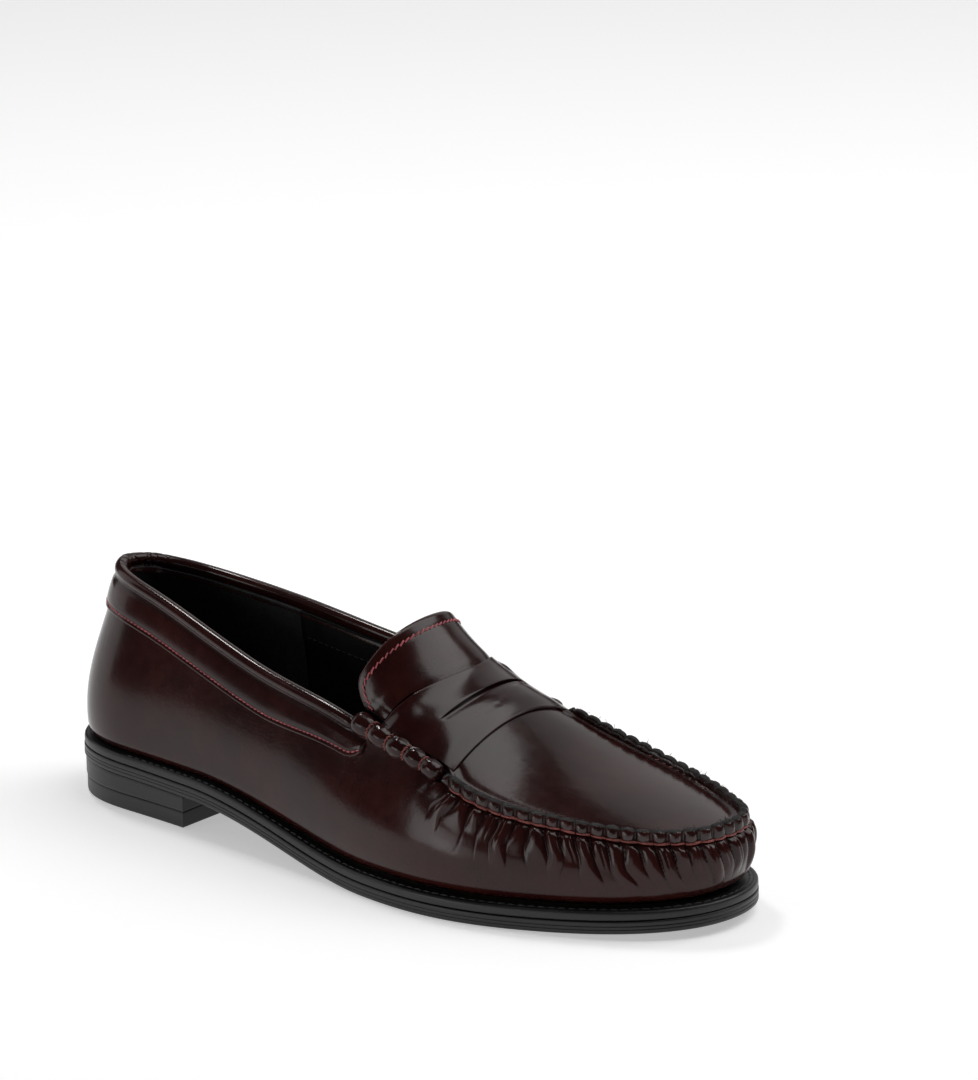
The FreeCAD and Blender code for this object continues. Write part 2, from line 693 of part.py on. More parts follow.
def slot_cutter():
    """Upright lens through the strap: the keeper slot."""
    half = SLOT_WIDTH / 2.0
    middle = crest_y(SLOT_PLACE / LENGTH) - SLOT_SHIFT
    points = []
    for t in spread(0.0, 2.0 * math.pi, 25)[:-1]:
        x = SLOT_PLACE + SLOT_OPENING / 2.0 * math.sin(t) - SLOT_BOW * math.cos(t) ** 2
        points.append(place(x, middle + half * math.cos(t), 0.0))
    edge = Part.BSplineCurve()
    edge.interpolate(points, PeriodicFlag=True)
    return Part.Face(Part.Wire(edge.toShape())).extrude(V(0, 0, 120.0))


def strap():
    body = instep_sheet(strap_rear, strap_front, STRAP_REACH, GLUE + 0.05, GLUE + 0.05 + UPPER_THICK)
    return one(body.cut(slot_cutter()))


def tongue_edge(s):
    past = max(0.0, (abs(s) - CORNER_START) / CORNER_SPAN)
    return TONGUE_EDGE - TONGUE_SWEEP * s * s + TONGUE_CORNER * past * past


def tongue_front(s):
    return strap_rear(s) - MOVE_GAP


def tongue():
    return instep_sheet(tongue_edge, tongue_front, TONGUE_REACH, -UPPER_THICK, 0.0)


def tongue_lining():
    rear = lambda s: tongue_edge(s) + 0.5
    front = lambda s: tongue_front(s) - 0.5
    top = -UPPER_THICK - GLUE
    return instep_sheet(rear, front, narrower(TONGUE_REACH, 0.02), top - LINING_THICK, top)


def tongue_thread():
    """Edge stitching round the tongue, a little in from its edge."""
    rear = lambda s: tongue_edge(s) + TONGUE_STITCH
    front = lambda s: tongue_edge(s) + TONGUE_STITCH + THREAD
    return instep_sheet(rear, front, narrower(TONGUE_REACH, 0.06), THREAD_GAP, THREAD_GAP + THREAD, rows=3)


def roll_centre(u):
    x, y, z = top_point(u)
    return place(x, y, z)


def beef_roll(start, end):
    shares = spread(0.0, 1.0, 4 * ROLL_LUMPS + 1)
    centres = [roll_centre(start + (end - start) * t) for t in shares]
    return tube(centres, [lump_radius(t) for t in shares])


def lump_radius(share):
    """Radius of a beef roll at a share of its length: lumps with necks between them."""
    base = ROLL_REAR_RADIUS + (ROLL_FRONT_RADIUS - ROLL_REAR_RADIUS) * share
    neck = abs(math.sin(math.pi * ROLL_LUMPS * share))
    return base - 0.7 + 0.7 * neck


def roll_wraps(start, end):
    rings = []
    for k in range(1, ROLL_LUMPS):
        share = k / ROLL_LUMPS
        u = start + (end - start) * share
        centre = roll_centre(u)
        way = roll_centre(u + 0.002 * (end - start)) - roll_centre(u - 0.002 * (end - start))
        ring_radius = lump_radius(share) + THREAD_GAP + WRAP_RADIUS
        rings.append(Part.makeTorus(ring_radius, WRAP_RADIUS, centre, way))
    return rings


def band_width(u):
    """The collar band narrows towards its front ends."""
    turn = min(u % 1.0, 1.0 - u % 1.0)
    return BAND_WIDTH - BAND_TAPER * smooth_step(COLLAR_END - 0.08, COLLAR_END, turn)


def band_low(u):
    return wall_share(u, band_width(u))


def band_top(u):
    return wall_share(u, COLLAR_ROLL + 0.2)


def collar_binding():
    return wall_sheet(-COLLAR_END, COLLAR_END, band_low, band_top, -GLUE - BAND_THICK, -GLUE)


def collar_padding():
    """Padded roll along the topline."""
    centres, radii = [], []
    for u in spread(-COLLAR_END, COLLAR_END, 81):
        x, y, z = top_point(u)
        _, _, out_x, out_y = edge_point(u, 0.0)
        centres.append(place(x - 0.2 * out_x, y - 0.2 * out_y, z - COLLAR_ROLL / 2.0))
        radii.append(COLLAR_ROLL / 2.0 - 0.25)
    return tube(centres, radii, straight=True)


def collar_thread():
    low = lambda u: wall_share(u, band_width(u) - BAND_STITCH)
    high = lambda u: wall_share(u, band_width(u) - BAND_STITCH - THREAD)
    lift = GLUE + BAND_THICK + THREAD_GAP
    return wall_sheet(-COLLAR_END + 0.004, COLLAR_END - 0.004, low, high, -lift - THREAD, -lift, rows=3)


def back_tab():
    """Strip over the back seam, under the collar band."""
    low = lambda u: wall_share(u, BAND_WIDTH + 14.0)
    high = lambda u: wall_share(u, BAND_WIDTH + EDGE_GAP)
    return wall_sheet(-0.007, 0.007, low, high, -GLUE - BAND_THICK, -GLUE)


def heel_counter():
    high = lambda u: wall_share(u, BAND_WIDTH + 12.0 + 60.0 * abs(u))
    depth = UPPER_THICK + GLUE
    return wall_sheet(-COUNTER_END, COUNTER_END, level(0.03), high, depth, depth + STIFFENER_THICK)


def toe_puff():
    high = lambda u: wall_share(u, 3.0)
    depth = UPPER_THICK + GLUE
    return wall_sheet(0.5 - PUFF_HALF, 0.5 + PUFF_HALF, level(0.05), high, depth, depth + STIFFENER_THICK)


def lining(u0, u1):
    high = lambda u: min(wall_share(u, 3.5), wall_share(u, COLLAR_ROLL + 0.6))
    depth = UPPER_THICK + STIFFENER_THICK + 2 * GLUE
    return wall_sheet(u0, u1, level(0.02), high, depth, depth + LINING_THICK)


def save(node, shapes):
    """Write one node's STEP file; a group is written as separate solids."""
    shapes = shapes if isinstance(shapes, list) else [shapes]
    for shape in shapes:
        if not shape.isValid() or shape.Volume <= 0:
            raise ValueError("the solid of " + node + " isn't sound")
    body = shapes[0] if len(shapes) == 1 else Part.makeCompound(shapes)
    body.exportStep("parts/" + node + ".step")
    print(node, len(shapes), round(sum(s.Volume for s in shapes), 1))


def bored(shape):
    """The shape with the heel nails' holes."""
    return one(shape.cut(Part.makeCompound(nails(HOLE_GAP))))


def main():
    os.makedirs("parts", exist_ok=True)
    seam_gap = 0.002
    save("top_lift", top_lift())
    save("heel_block", bored(heel_block()))
    save("heel_nails", nails())
    save("outsole", bored(outsole()))
    save("welt", welt())
    save("cork_filler", bored(cork_filler()))
    save("shank", shank())
    save("insole_board", bored(insole_board()))
    save("heel_pad", pad_pocket(0.0))
    save("sock_liner", sock_liner())
    save("welt_thread", welt_thread())
    save("wall", wall())
    save("apron", apron())
    save("apron_lining", apron_lining())
    save("seam_ridge", seam_ridge())
    save("seam_thread", seam_thread())
    save("strap", strap())
    save("tongue", tongue())
    save("tongue_lining", tongue_lining())
    save("tongue_thread", tongue_thread())
    save("beef_roll_lateral", beef_roll(ROLL_START, ROLL_END))
    save("beef_roll_medial", beef_roll(MEDIAL_ROLL_START, MEDIAL_ROLL_END))
    save("roll_wraps_lateral", roll_wraps(ROLL_START, ROLL_END))
    save("roll_wraps_medial", roll_wraps(MEDIAL_ROLL_START, MEDIAL_ROLL_END))
    save("collar_binding", collar_binding())
    save("collar_padding", collar_padding())
    save("collar_thread", collar_thread())
    save("back_tab", back_tab())
    save("heel_counter", heel_counter())
    save("toe_puff", toe_puff())
    save("heel_grip", lining(-GRIP_END + seam_gap, GRIP_END - seam_gap))
    save("quarter_lining_lateral", lining(GRIP_END, COLLAR_END))
    save("quarter_lining_medial", lining(1.0 - COLLAR_END, 1.0 - GRIP_END))
    save("vamp_lining", lining(COLLAR_END + seam_gap, 1.0 - COLLAR_END - seam_gap))


main()
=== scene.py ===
import math

import bmesh
import bpy
import numpy as np
from mathutils import Matrix, Vector


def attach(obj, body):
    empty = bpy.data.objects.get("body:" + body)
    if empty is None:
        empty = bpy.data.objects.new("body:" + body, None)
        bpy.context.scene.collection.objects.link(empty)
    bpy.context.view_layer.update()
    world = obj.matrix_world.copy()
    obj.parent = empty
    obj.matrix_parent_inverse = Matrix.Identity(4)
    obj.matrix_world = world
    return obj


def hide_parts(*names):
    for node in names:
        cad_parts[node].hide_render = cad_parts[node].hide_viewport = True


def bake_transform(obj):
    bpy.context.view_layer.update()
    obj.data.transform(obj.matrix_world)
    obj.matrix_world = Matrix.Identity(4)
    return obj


bl_info = {
    "name": "Penny Loafer",
    "version": (1, 0, 0),
    "blender": (4, 5, 0),
    "location": "3D View > Sidebar > Loafer",
    "description": "Leather, stitching, sole and stage of a slip-on moccasin-seamed shoe",
    "category": "Object",
}

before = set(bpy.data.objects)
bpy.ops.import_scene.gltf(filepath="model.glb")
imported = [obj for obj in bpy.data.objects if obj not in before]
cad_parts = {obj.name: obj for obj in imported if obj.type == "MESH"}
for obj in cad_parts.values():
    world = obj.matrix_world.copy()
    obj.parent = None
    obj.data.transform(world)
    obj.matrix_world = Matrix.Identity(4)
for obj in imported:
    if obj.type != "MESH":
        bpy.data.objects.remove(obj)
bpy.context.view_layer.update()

# The shoe's own shape, in mm from the heel back, as its solids have it.
LENGTH, HEEL_WIDTH, WAIST_WIDTH, BALL_WIDTH = 270.0, 60.0, 62.0, 95.0
HEEL_RISE, HEEL_BACK_RISE, HEEL_LENGTH, TOE_SPRING = 11.6, 1.7, 64.0, 3.5
OUTSOLE_THICK, WELT_THICK, LIFT_THICK = 4.4, 3.3, 5.9
BACK_HEIGHT, TONGUE_HEIGHT = 81.5, 85.5
UPPER_THICK, STIFFENER_THICK, LINING_THICK = 1.4, 0.8, 1.0
BAND_THICK, BAND_WIDTH, BAND_TAPER, COLLAR_ROLL = 1.2, 16.0, 3.6, 4.6
INSOLE_THICK, SOCK_THICK, WELT_RING = 2.0, 1.0, 14.0
ROLL_REAR_RADIUS, ROLL_FRONT_RADIUS, ROLL_LUMPS = 4.2, 3.3, 5
SLOT_WIDTH, SLOT_OPENING, SLOT_BOW, SLOT_SHIFT = 44.0, 2.6, 2.0, 2.0
STRAP_MIDDLE, STRAP_SIDE, TONGUE_SWEEP, TONGUE_CORNER = 20.0, 13.0, 15.0, 8.0
GLUE, EDGE_GAP = 0.1, 0.6
COLLAR_END, ROLL_START, ROLL_END, SEAM_START = 0.247, 0.251, 0.319, 0.327
SEAM_END, MEDIAL_ROLL_START, MEDIAL_ROLL_END = 0.675, 0.750, 0.683
GRIP_END = 0.15
STRAP_REAR, SLOT_PLACE, TONGUE_EDGE = 0.604 * LENGTH, 0.641 * LENGTH, 0.549 * LENGTH
BALL_START, BALL_END = 0.575 * LENGTH, 0.70 * LENGTH
WELT_TOP = OUTSOLE_THICK + WELT_THICK
APRON_REAR = SLOT_PLACE - 5.0
STRAP_REACH, TONGUE_REACH = (-0.83, 0.73), (-0.86, 0.73)

LATERAL_HEEL = ((0.0, 0.04), (0.011, -0.333), (0.037, -0.65), (0.0815, -0.86), (0.148, -0.943), (0.23, -1.01))
LATERAL_WAIST = ((0.315, -1.071), (0.407, -1.187))
LATERAL_FRONT = (
    (0.5, -0.874), (0.593, -0.973), (0.667, -1.0), (0.741, -0.943), (0.807, -0.834), (0.87, -0.695),
    (0.922, -0.539), (0.963, -0.349), (0.989, -0.137), (1.0, 0.147),
)
MEDIAL_FRONT = (
    (0.989, 0.432), (0.963, 0.632), (0.922, 0.789), (0.87, 0.901), (0.807, 0.952), (0.741, 0.926),
    (0.667, 0.825), (0.593, 0.695),
)
MEDIAL_WAIST = ((0.5, 0.871), (0.407, 0.806), (0.315, 0.871))
MEDIAL_HEEL = ((0.23, 1.0), (0.148, 1.033), (0.0815, 0.94), (0.037, 0.733), (0.011, 0.413))
TOP_INSET = (
    (0.0, 13.0), (0.04, 14.2), (0.08, 12.6), (0.12, 10.3), (0.18, 9.0), (0.235, 10.0), (0.262, 12.0),
    (0.29, 13.0), (0.315, 12.8), (0.34, 11.5), (0.38, 10.5), (0.43, 9.4), (0.47, 7.4), (0.5, 6.0),
    (0.54, 5.2), (0.58, 6.4), (0.62, 8.4), (0.66, 8.8), (0.69, 7.0), (0.72, 4.5), (0.76, 3.0),
    (0.80, 3.0), (0.84, 4.5), (0.88, 6.5), (0.92, 9.0), (0.96, 11.6),
)
TOP_FALL = (
    (0.0, 0.0), (0.04, 0.3), (0.075, 2.3), (0.11, 7.0), (0.15, 13.6), (0.19, 19.3), (0.235, 23.9),
    (0.262, 28.4), (0.285, 32.0), (0.315, 36.6), (0.34, 42.0), (0.37, 45.7), (0.42, 49.9),
    (0.47, 51.5), (0.52, 51.0), (0.57, 48.5), (0.61, 45.2), (0.64, 40.6), (0.67, 35.0),
    (0.70, 30.4), (0.735, 22.0), (0.765, 17.2), (0.80, 13.6), (0.85, 9.8), (0.90, 7.0),
    (0.95, 2.8), (0.98, 0.7),
)
LEDGE = ((0.0, 2.0), (0.1, 2.2), (0.2, 3.2), (0.33, 4.6), (0.5, 5.2), (0.67, 4.6), (0.8, 3.0), (0.9, 2.2))
FOOT_ANGLE = ((0.0, 80.0), (0.1, 80.0), (0.25, 68.0), (0.4, 58.0), (0.5, 60.0), (0.6, 58.0), (0.75, 66.0), (0.9, 80.0))
HEAD_ANGLE = ((0.0, 78.0), (0.1, 80.0), (0.25, 72.0), (0.35, 48.0), (0.5, 52.0), (0.65, 48.0), (0.75, 76.0), (0.9, 82.0))
CREST_FALL = (
    (0.507, -14.0), (0.54, -2.0), (0.563, 5.6), (0.585, 12.0), (0.604, 17.6), (0.637, 24.0), (0.678, 30.4),
    (0.741, 39.4), (0.815, 46.0), (0.907, 51.6), (1.0, 56.0),
)
CREST_Y = ((0.507, 0.0), (0.54, 0.5), (0.604, 3.0), (0.678, 7.0), (0.741, 8.0), (0.815, 8.0), (1.0, 7.0))
LATERAL_REACH = (
    (0.507, 29.5), (0.54, 30.0), (0.585, 34.0), (0.604, 36.0), (0.637, 39.0), (0.678, 41.0), (1.0, 41.0),
)
LATERAL_DROP = (
    (0.507, 48.0), (0.54, 36.2), (0.563, 29.5), (0.585, 24.0), (0.604, 20.0), (0.637, 15.0), (0.678, 12.2),
    (0.741, 9.8), (0.815, 8.6), (1.0, 9.0),
)
MEDIAL_REACH = ((0.507, 24.0), (0.54, 24.5), (0.604, 25.5), (0.637, 26.5), (0.678, 30.0), (1.0, 30.0))
MEDIAL_DROP = (
    (0.507, 41.0), (0.54, 30.5), (0.563, 23.0), (0.585, 17.0), (0.604, 13.0), (0.637, 11.0), (0.678, 10.5),
    (0.741, 6.7), (0.815, 5.5), (1.0, 6.0),
)
ROUNDNESS = (
    (0.507, 86.0), (0.54, 84.0), (0.563, 76.0), (0.585, 66.0), (0.604, 56.0), (0.637, 44.0), (0.678, 36.0),
    (1.0, 35.0),
)


# ---- smooth lines and the shoe's surfaces --------------------------------------------------
class Curve:
    """Smooth line through (place, value) pairs, for arrays. A closed one repeats after one turn."""

    def __init__(self, pairs, closed=False):
        pairs = [tuple(p) for p in pairs]
        if closed:
            before = [(p - 1.0, v) for p, v in pairs[-4:]]
            pairs = before + pairs + [(p + 1.0, v) for p, v in pairs[:4]]
        self.closed = closed
        self.x, self.y = (np.array(column, float) for column in zip(*pairs))
        gaps, steps = np.diff(self.x), np.diff(self.y)
        count = len(pairs)
        system, right = np.eye(count), np.zeros(count)
        for i in range(1, count - 1):
            system[i, i - 1:i + 2] = gaps[i - 1], 2.0 * (gaps[i - 1] + gaps[i]), gaps[i]
            right[i] = 6.0 * (steps[i] / gaps[i] - steps[i - 1] / gaps[i - 1])
        self.bends = np.linalg.solve(system, right)

    def __call__(self, place):
        place = np.asarray(place, float)
        place = place % 1.0 if self.closed else np.clip(place, self.x[0], self.x[-1])
        i = np.clip(np.searchsorted(self.x, place, side="right") - 1, 0, len(self.x) - 2)
        gap = self.x[i + 1] - self.x[i]
        a, b = (self.x[i + 1] - place) / gap, (place - self.x[i]) / gap
        bend = (a ** 3 - a) * self.bends[i] + (b ** 3 - b) * self.bends[i + 1]
        return a * self.y[i] + b * self.y[i + 1] + bend * gap * gap / 6.0


def sole_edge_curves():
    """The sole edge as two closed curves over the place along it: 0 heel back, 0.5 toe tip."""
    zones = (
        (LATERAL_HEEL, HEEL_WIDTH), (LATERAL_WAIST, WAIST_WIDTH), (LATERAL_FRONT, BALL_WIDTH),
        (MEDIAL_FRONT, BALL_WIDTH), (MEDIAL_WAIST, WAIST_WIDTH), (MEDIAL_HEEL, HEEL_WIDTH),
    )
    points = np.array([(s * LENGTH, t * width / 2.0) for zone, width in zones for s, t in zone])
    toe = int(np.argmax(points[:, 0]))
    steps = np.linalg.norm(np.roll(points, -1, axis=0) - points, axis=1)
    run = np.concatenate([[0.0], np.cumsum(steps)[:-1]])
    to_toe = steps[:toe].sum()
    places = np.where(run <= to_toe, 0.5 * run / to_toe, 0.5 + 0.5 * (run - to_toe) / steps[toe:].sum())
    return Curve(zip(places, points[:, 0]), True), Curve(zip(places, points[:, 1]), True)


ALONG, ACROSS = sole_edge_curves()
SAMPLES = np.arange(720) / 720.0
MIDDLE_X = (ALONG(SAMPLES).min() + ALONG(SAMPLES).max()) / 2.0
MIDDLE_Y = (ACROSS(SAMPLES).min() + ACROSS(SAMPLES).max()) / 2.0
top_inset, top_fall, ledge = Curve(TOP_INSET, True), Curve(TOP_FALL, True), Curve(LEDGE, True)
foot_angle, head_angle = Curve(FOOT_ANGLE, True), Curve(HEAD_ANGLE, True)
crest_fall, crest_y, roundness = Curve(CREST_FALL), Curve(CREST_Y), Curve(ROUNDNESS)
lateral_reach, lateral_drop = Curve(LATERAL_REACH), Curve(LATERAL_DROP)
medial_reach, medial_drop = Curve(MEDIAL_REACH), Curve(MEDIAL_DROP)


def smooth(a, b, t):
    s = np.clip((np.asarray(t, float) - a) / (b - a), 0.0, 1.0)
    return s * s * (3.0 - 2.0 * s)


def stack(*parts):
    return np.stack(np.broadcast_arrays(*parts), axis=-1)


def unit(vectors):
    return vectors / np.maximum(np.linalg.norm(vectors, axis=-1, keepdims=True), 1e-12)


def edge_point(u, inset):
    """Plan point inside the sole edge, and the outward direction there."""
    dx, dy = ALONG(u + 0.002) - ALONG(u - 0.002), ACROSS(u + 0.002) - ACROSS(u - 0.002)
    size = np.hypot(dx, dy)
    out_x, out_y = dy / size, -dx / size
    return ALONG(u) - out_x * inset, ACROSS(u) - out_y * inset, out_x, out_y


def underside(x):
    """Height of the outsole's underside."""
    x = np.asarray(x, float)
    heel = HEEL_RISE + HEEL_BACK_RISE * (1.0 - x / HEEL_LENGTH)
    waist = HEEL_RISE * (0.5 + 0.5 * np.cos(np.pi * (x - HEEL_LENGTH) / (BALL_START - HEEL_LENGTH)))
    toe = TOE_SPRING * ((x - BALL_END) / (LENGTH - BALL_END)) ** 2
    return np.select([x < HEEL_LENGTH, x < BALL_START, x < BALL_END], [heel, waist, 0.0], toe)


def instep(x, s):
    """Point of the instep; s runs from -1 lateral to 1 medial."""
    share, s = x / LENGTH, np.asarray(s, float)
    full = np.radians(roundness(share))
    reach = np.where(s < 0, lateral_reach(share), medial_reach(share))
    drop = np.where(s < 0, lateral_drop(share), medial_drop(share))
    y = crest_y(share) + reach * np.sin(s * full) / np.sin(full)
    z = TONGUE_HEIGHT - crest_fall(share) - drop * (1.0 - np.cos(s * full)) / (1.0 - np.cos(full))
    return stack(x, y, z)


def apron_height(x, y):
    """Height of the same surface over a plan point."""
    share = x / LENGTH
    full = np.radians(roundness(share))
    off = y - crest_y(share)
    reach = np.where(off < 0, lateral_reach(share), medial_reach(share))
    drop = np.where(off < 0, lateral_drop(share), medial_drop(share))
    sine = np.minimum(np.abs(off) / reach * np.sin(full), 0.98)
    fall = drop * (1.0 - np.sqrt(1.0 - sine * sine)) / (1.0 - np.cos(full))
    return TONGUE_HEIGHT - crest_fall(share) - fall


def instep_lifted(x, s, lift):
    """Instep point raised square to the surface."""
    along = instep(x + 0.5, s) - instep(x - 0.5, s)
    across = instep(x, np.minimum(s + 0.01, 1.0)) - instep(x, np.maximum(s - 0.01, -1.0))
    normal = unit(np.cross(along, across))
    return instep(x, s) + normal * np.asarray(lift)[..., None]


def top_point(u):
    """Topline, roll line or seam."""
    u = np.asarray(u, float)
    x, y, _, _ = edge_point(u, top_inset(u))
    turn = u % 1.0
    seam = smooth(ROLL_END - 0.01, SEAM_START + 0.02, turn) * (1.0 - smooth(SEAM_END - 0.02, SEAM_END + 0.02, turn))
    return stack(x, y, seam * apron_height(x, y) + (1.0 - seam) * (BACK_HEIGHT - top_fall(u)))


def wall(u, t):
    """Outer face of the wall, t from 0 at the welt to 1 at the top."""
    u, t = np.broadcast_arrays(np.asarray(u, float), np.asarray(t, float))
    foot_inset, head_inset = ledge(u), top_inset(u)
    x, y, out_x, out_y = edge_point(u, foot_inset)
    foot = underside(x) + WELT_TOP + GLUE
    rise = top_point(u)[..., 2] - foot
    reach = 0.36 * np.hypot(rise, head_inset - foot_inset)
    a, b = np.radians(foot_angle(u)), np.radians(head_angle(u))
    lean = foot_inset - head_inset
    w1, w2, w3 = 3 * t * (1 - t) ** 2, 3 * t * t * (1 - t), t ** 3
    out = w1 * reach * np.cos(a) + w2 * (lean + reach * np.cos(b)) + w3 * lean
    up = w1 * reach * np.sin(a) + w2 * (rise - reach * np.sin(b)) + w3 * rise
    return stack(x + out_x * out, y + out_y * out, foot + up)


def wall_normal(u, t):
    round_way = wall(u + 0.002, t) - wall(u - 0.002, t)
    up_way = wall(u, np.minimum(t + 0.01, 1.0)) - wall(u, np.maximum(t - 0.01, 0.0))
    return unit(np.cross(round_way, up_way))


def wall_share(u, below):
    """The t that lies a length `below` under the top of the wall."""
    u, below = np.broadcast_arrays(np.asarray(u, float), np.asarray(below, float))
    shares = np.linspace(1.0, 0.0, 61)
    points = wall(u[..., None], shares)
    run = np.cumsum(np.linalg.norm(np.diff(points, axis=-2), axis=-1), axis=-1)
    run = np.concatenate([np.zeros(run.shape[:-1] + (1,)), run], axis=-1)
    flat = [np.interp(b, r, shares) for b, r in zip(below.ravel(), run.reshape(-1, 61))]
    return np.array(flat).reshape(u.shape)


def wall_below(u, below, lift):
    """Point a length `below` under the wall's top, `lift` out from its face."""
    t = wall_share(u, below)
    return wall(u, t) + wall_normal(u, t) * np.asarray(lift)[..., None]


def strap_rear(s):
    return STRAP_REAR - STRAP_SIDE * s * s


def tongue_edge(s):
    past = np.maximum(0.0, (np.abs(s) - 0.74) / 0.16)
    return TONGUE_EDGE - TONGUE_SWEEP * s * s + TONGUE_CORNER * past * past


def lateral_length(points):
    """Running length along a line of points."""
    steps = np.linalg.norm(np.diff(points, axis=0), axis=1)
    return np.concatenate([[0.0], np.cumsum(steps)])


def noise_1d(place, seed, pitch=1.0):
    """Smooth seeded noise from -1 to 1 along a line."""
    values = np.random.default_rng(seed).uniform(-1.0, 1.0, 4096)
    cell = np.asarray(place, float) / pitch + 512.0
    low = np.floor(cell).astype(int)
    mix = smooth(0.0, 1.0, cell - low)
    return values[low % 4096] * (1.0 - mix) + values[(low + 1) % 4096] * mix


def noise_2d(a, b, seed):
    """Smooth seeded noise from -1 to 1 over a surface."""
    values = np.random.default_rng(seed).uniform(-1.0, 1.0, (256, 256))
    a, b = np.broadcast_arrays(np.asarray(a, float) + 64.0, np.asarray(b, float) + 64.0)
    i, j = np.floor(a).astype(int), np.floor(b).astype(int)
    p, q = smooth(0.0, 1.0, a - i), smooth(0.0, 1.0, b - j)
    low = values[i % 256, j % 256] * (1 - p) + values[(i + 1) % 256, j % 256] * p
    high = values[i % 256, (j + 1) % 256] * (1 - p) + values[(i + 1) % 256, (j + 1) % 256] * p
    return low * (1 - q) + high * q


# ---- meshes ----------------------------------------------------------------------------------
def grid_faces(rows, columns, start=0, closed=False):
    """Quads over a grid of rows by columns of points; a closed one joins its last row to its first."""
    count = rows if closed else rows - 1
    i, j = np.meshgrid(np.arange(count), np.arange(columns - 1), indexing="ij")
    k = (i + 1) % rows
    quads = stack(i * columns + j, k * columns + j, k * columns + j + 1, i * columns + j + 1)
    return quads.reshape(-1, 4) + start


def rim_faces(first, second):
    """Quads between two lists of point numbers."""
    first, second = np.asarray(first), np.asarray(second)
    return stack(first[:-1], first[1:], second[1:], second[:-1])


def new_piece(name, points, faces, material, attributes=None, weld=0.004, crease=None):
    """Mesh object from points in mm and faces, with outward faces and smooth shading."""
    place = (np.asarray(points, float) - (MIDDLE_X, MIDDLE_Y, 0.0)) / 1000.0
    mesh = bpy.data.meshes.new(name)
    mesh.from_pydata(place.tolist(), [], [list(map(int, f)) for f in faces])
    for key, values in (attributes or {}).items():
        values = np.asarray(values, np.float32)
        kind, slot = ("FLOAT_VECTOR", "vector") if values.ndim == 2 else ("FLOAT", "value")
        layer = mesh.attributes.new(key, kind, "POINT")
        layer.data.foreach_set(slot, values.ravel())
    work = bmesh.new()
    work.from_mesh(mesh)
    bmesh.ops.remove_doubles(work, verts=work.verts, dist=weld / 1000.0)
    bmesh.ops.dissolve_degenerate(work, edges=work.edges, dist=1e-7)
    bmesh.ops.recalc_face_normals(work, faces=work.faces)
    work.to_mesh(mesh)
    work.free()
    mesh.shade_smooth()
    if crease is not None:
        mesh.set_sharp_from_angle(angle=math.radians(crease))
    mesh.materials.append(material)
    piece = bpy.data.objects.new(name, mesh)
    bpy.context.scene.collection.objects.link(piece)
    return piece


def sheet(name, outer, inner, material, attributes=None, closed=False, crease=40.0, weld=0.004):
    """Closed sheet between two grids of points; a closed one runs right round the shoe."""
    rows, columns = outer.shape[:2]
    inner_columns = inner.shape[1]
    points = np.concatenate([outer.reshape(-1, 3), inner.reshape(-1, 3)])
    base = rows * columns
    a = np.arange(rows) * columns
    b = base + np.arange(rows) * inner_columns
    if closed:
        a, b = np.append(a, a[0]), np.append(b, b[0])
    faces = [grid_faces(rows, columns, 0, closed), grid_faces(rows, inner_columns, base, closed)]
    faces += [rim_faces(a, b), rim_faces(a + columns - 1, b + inner_columns - 1)]
    if not closed:
        for row in (0, rows - 1):
            faces.append(rim_faces(row * columns + np.arange(columns), base + row * columns + np.arange(columns)))
    padded = {}
    for key, values in (attributes or {}).items():
        far = values[:, np.linspace(0, columns - 1, inner_columns).astype(int)]
        padded[key] = np.concatenate([values.ravel(), far.ravel()])
    return new_piece(name, points, np.concatenate(faces), material, padded, weld, crease)


def swept(name, centres, profile, material, attributes=None, crease=None):
    """Tube whose cross-sections are given point by point (stations by corners), ends closed."""
    rows, columns = profile.shape[:2]
    ring = np.concatenate([profile, profile[:, :1]], axis=1)
    points = np.concatenate([ring.reshape(-1, 3), centres[[0, -1]]])
    faces = [list(f) for f in grid_faces(rows, columns + 1)]
    total = rows * (columns + 1)
    for row, centre in ((0, total), (rows - 1, total + 1)):
        first = row * (columns + 1)
        faces += [[first + j, first + j + 1, centre] for j in range(columns)]
    extra = {k: np.concatenate([np.concatenate([v, v[:, :1]], axis=1).ravel(), [0.0, 0.0]]) for k, v in (attributes or {}).items()}
    return new_piece(name, points, faces, material, extra, crease=crease)


def path_mesh(name, points, out):
    """Line of points with the direction that faces out at each, for a pattern of stitches to follow."""
    place = (np.asarray(points, float) - (MIDDLE_X, MIDDLE_Y, 0.0)) / 1000.0
    mesh = bpy.data.meshes.new(name)
    mesh.from_pydata(place.tolist(), [(i, i + 1) for i in range(len(place) - 1)], [])
    mesh.attributes.new("facing", "FLOAT_VECTOR", "POINT").data.foreach_set("vector", unit(out).astype(np.float32).ravel())
    piece = bpy.data.objects.new(name, mesh)
    bpy.context.scene.collection.objects.link(piece)
    return piece


def settle(piece, body, slot, *nodes):
    """The piece rides on its body and stands for the CAD nodes it finishes."""
    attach(piece, body)
    if nodes:
        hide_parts(*nodes)
    return piece


# ---- node trees --------------------------------------------------------------------------------
class Wire:
    """A node's output that can stand in sums."""

    def __init__(self, tree, socket):
        self.tree, self.socket = tree, socket

    def __add__(self, other):
        return self.tree.maths("ADD", self, other)

    def __radd__(self, other):
        return self.tree.maths("ADD", other, self)

    def __sub__(self, other):
        return self.tree.maths("SUBTRACT", self, other)

    def __rsub__(self, other):
        return self.tree.maths("SUBTRACT", other, self)

    def __mul__(self, other):
        return self.tree.maths("MULTIPLY", self, other)

    def __rmul__(self, other):
        return self.tree.maths("MULTIPLY", other, self)

    def __truediv__(self, other):
        return self.tree.maths("DIVIDE", self, other)

    def __pow__(self, other):
        return self.tree.maths("POWER", self, other)


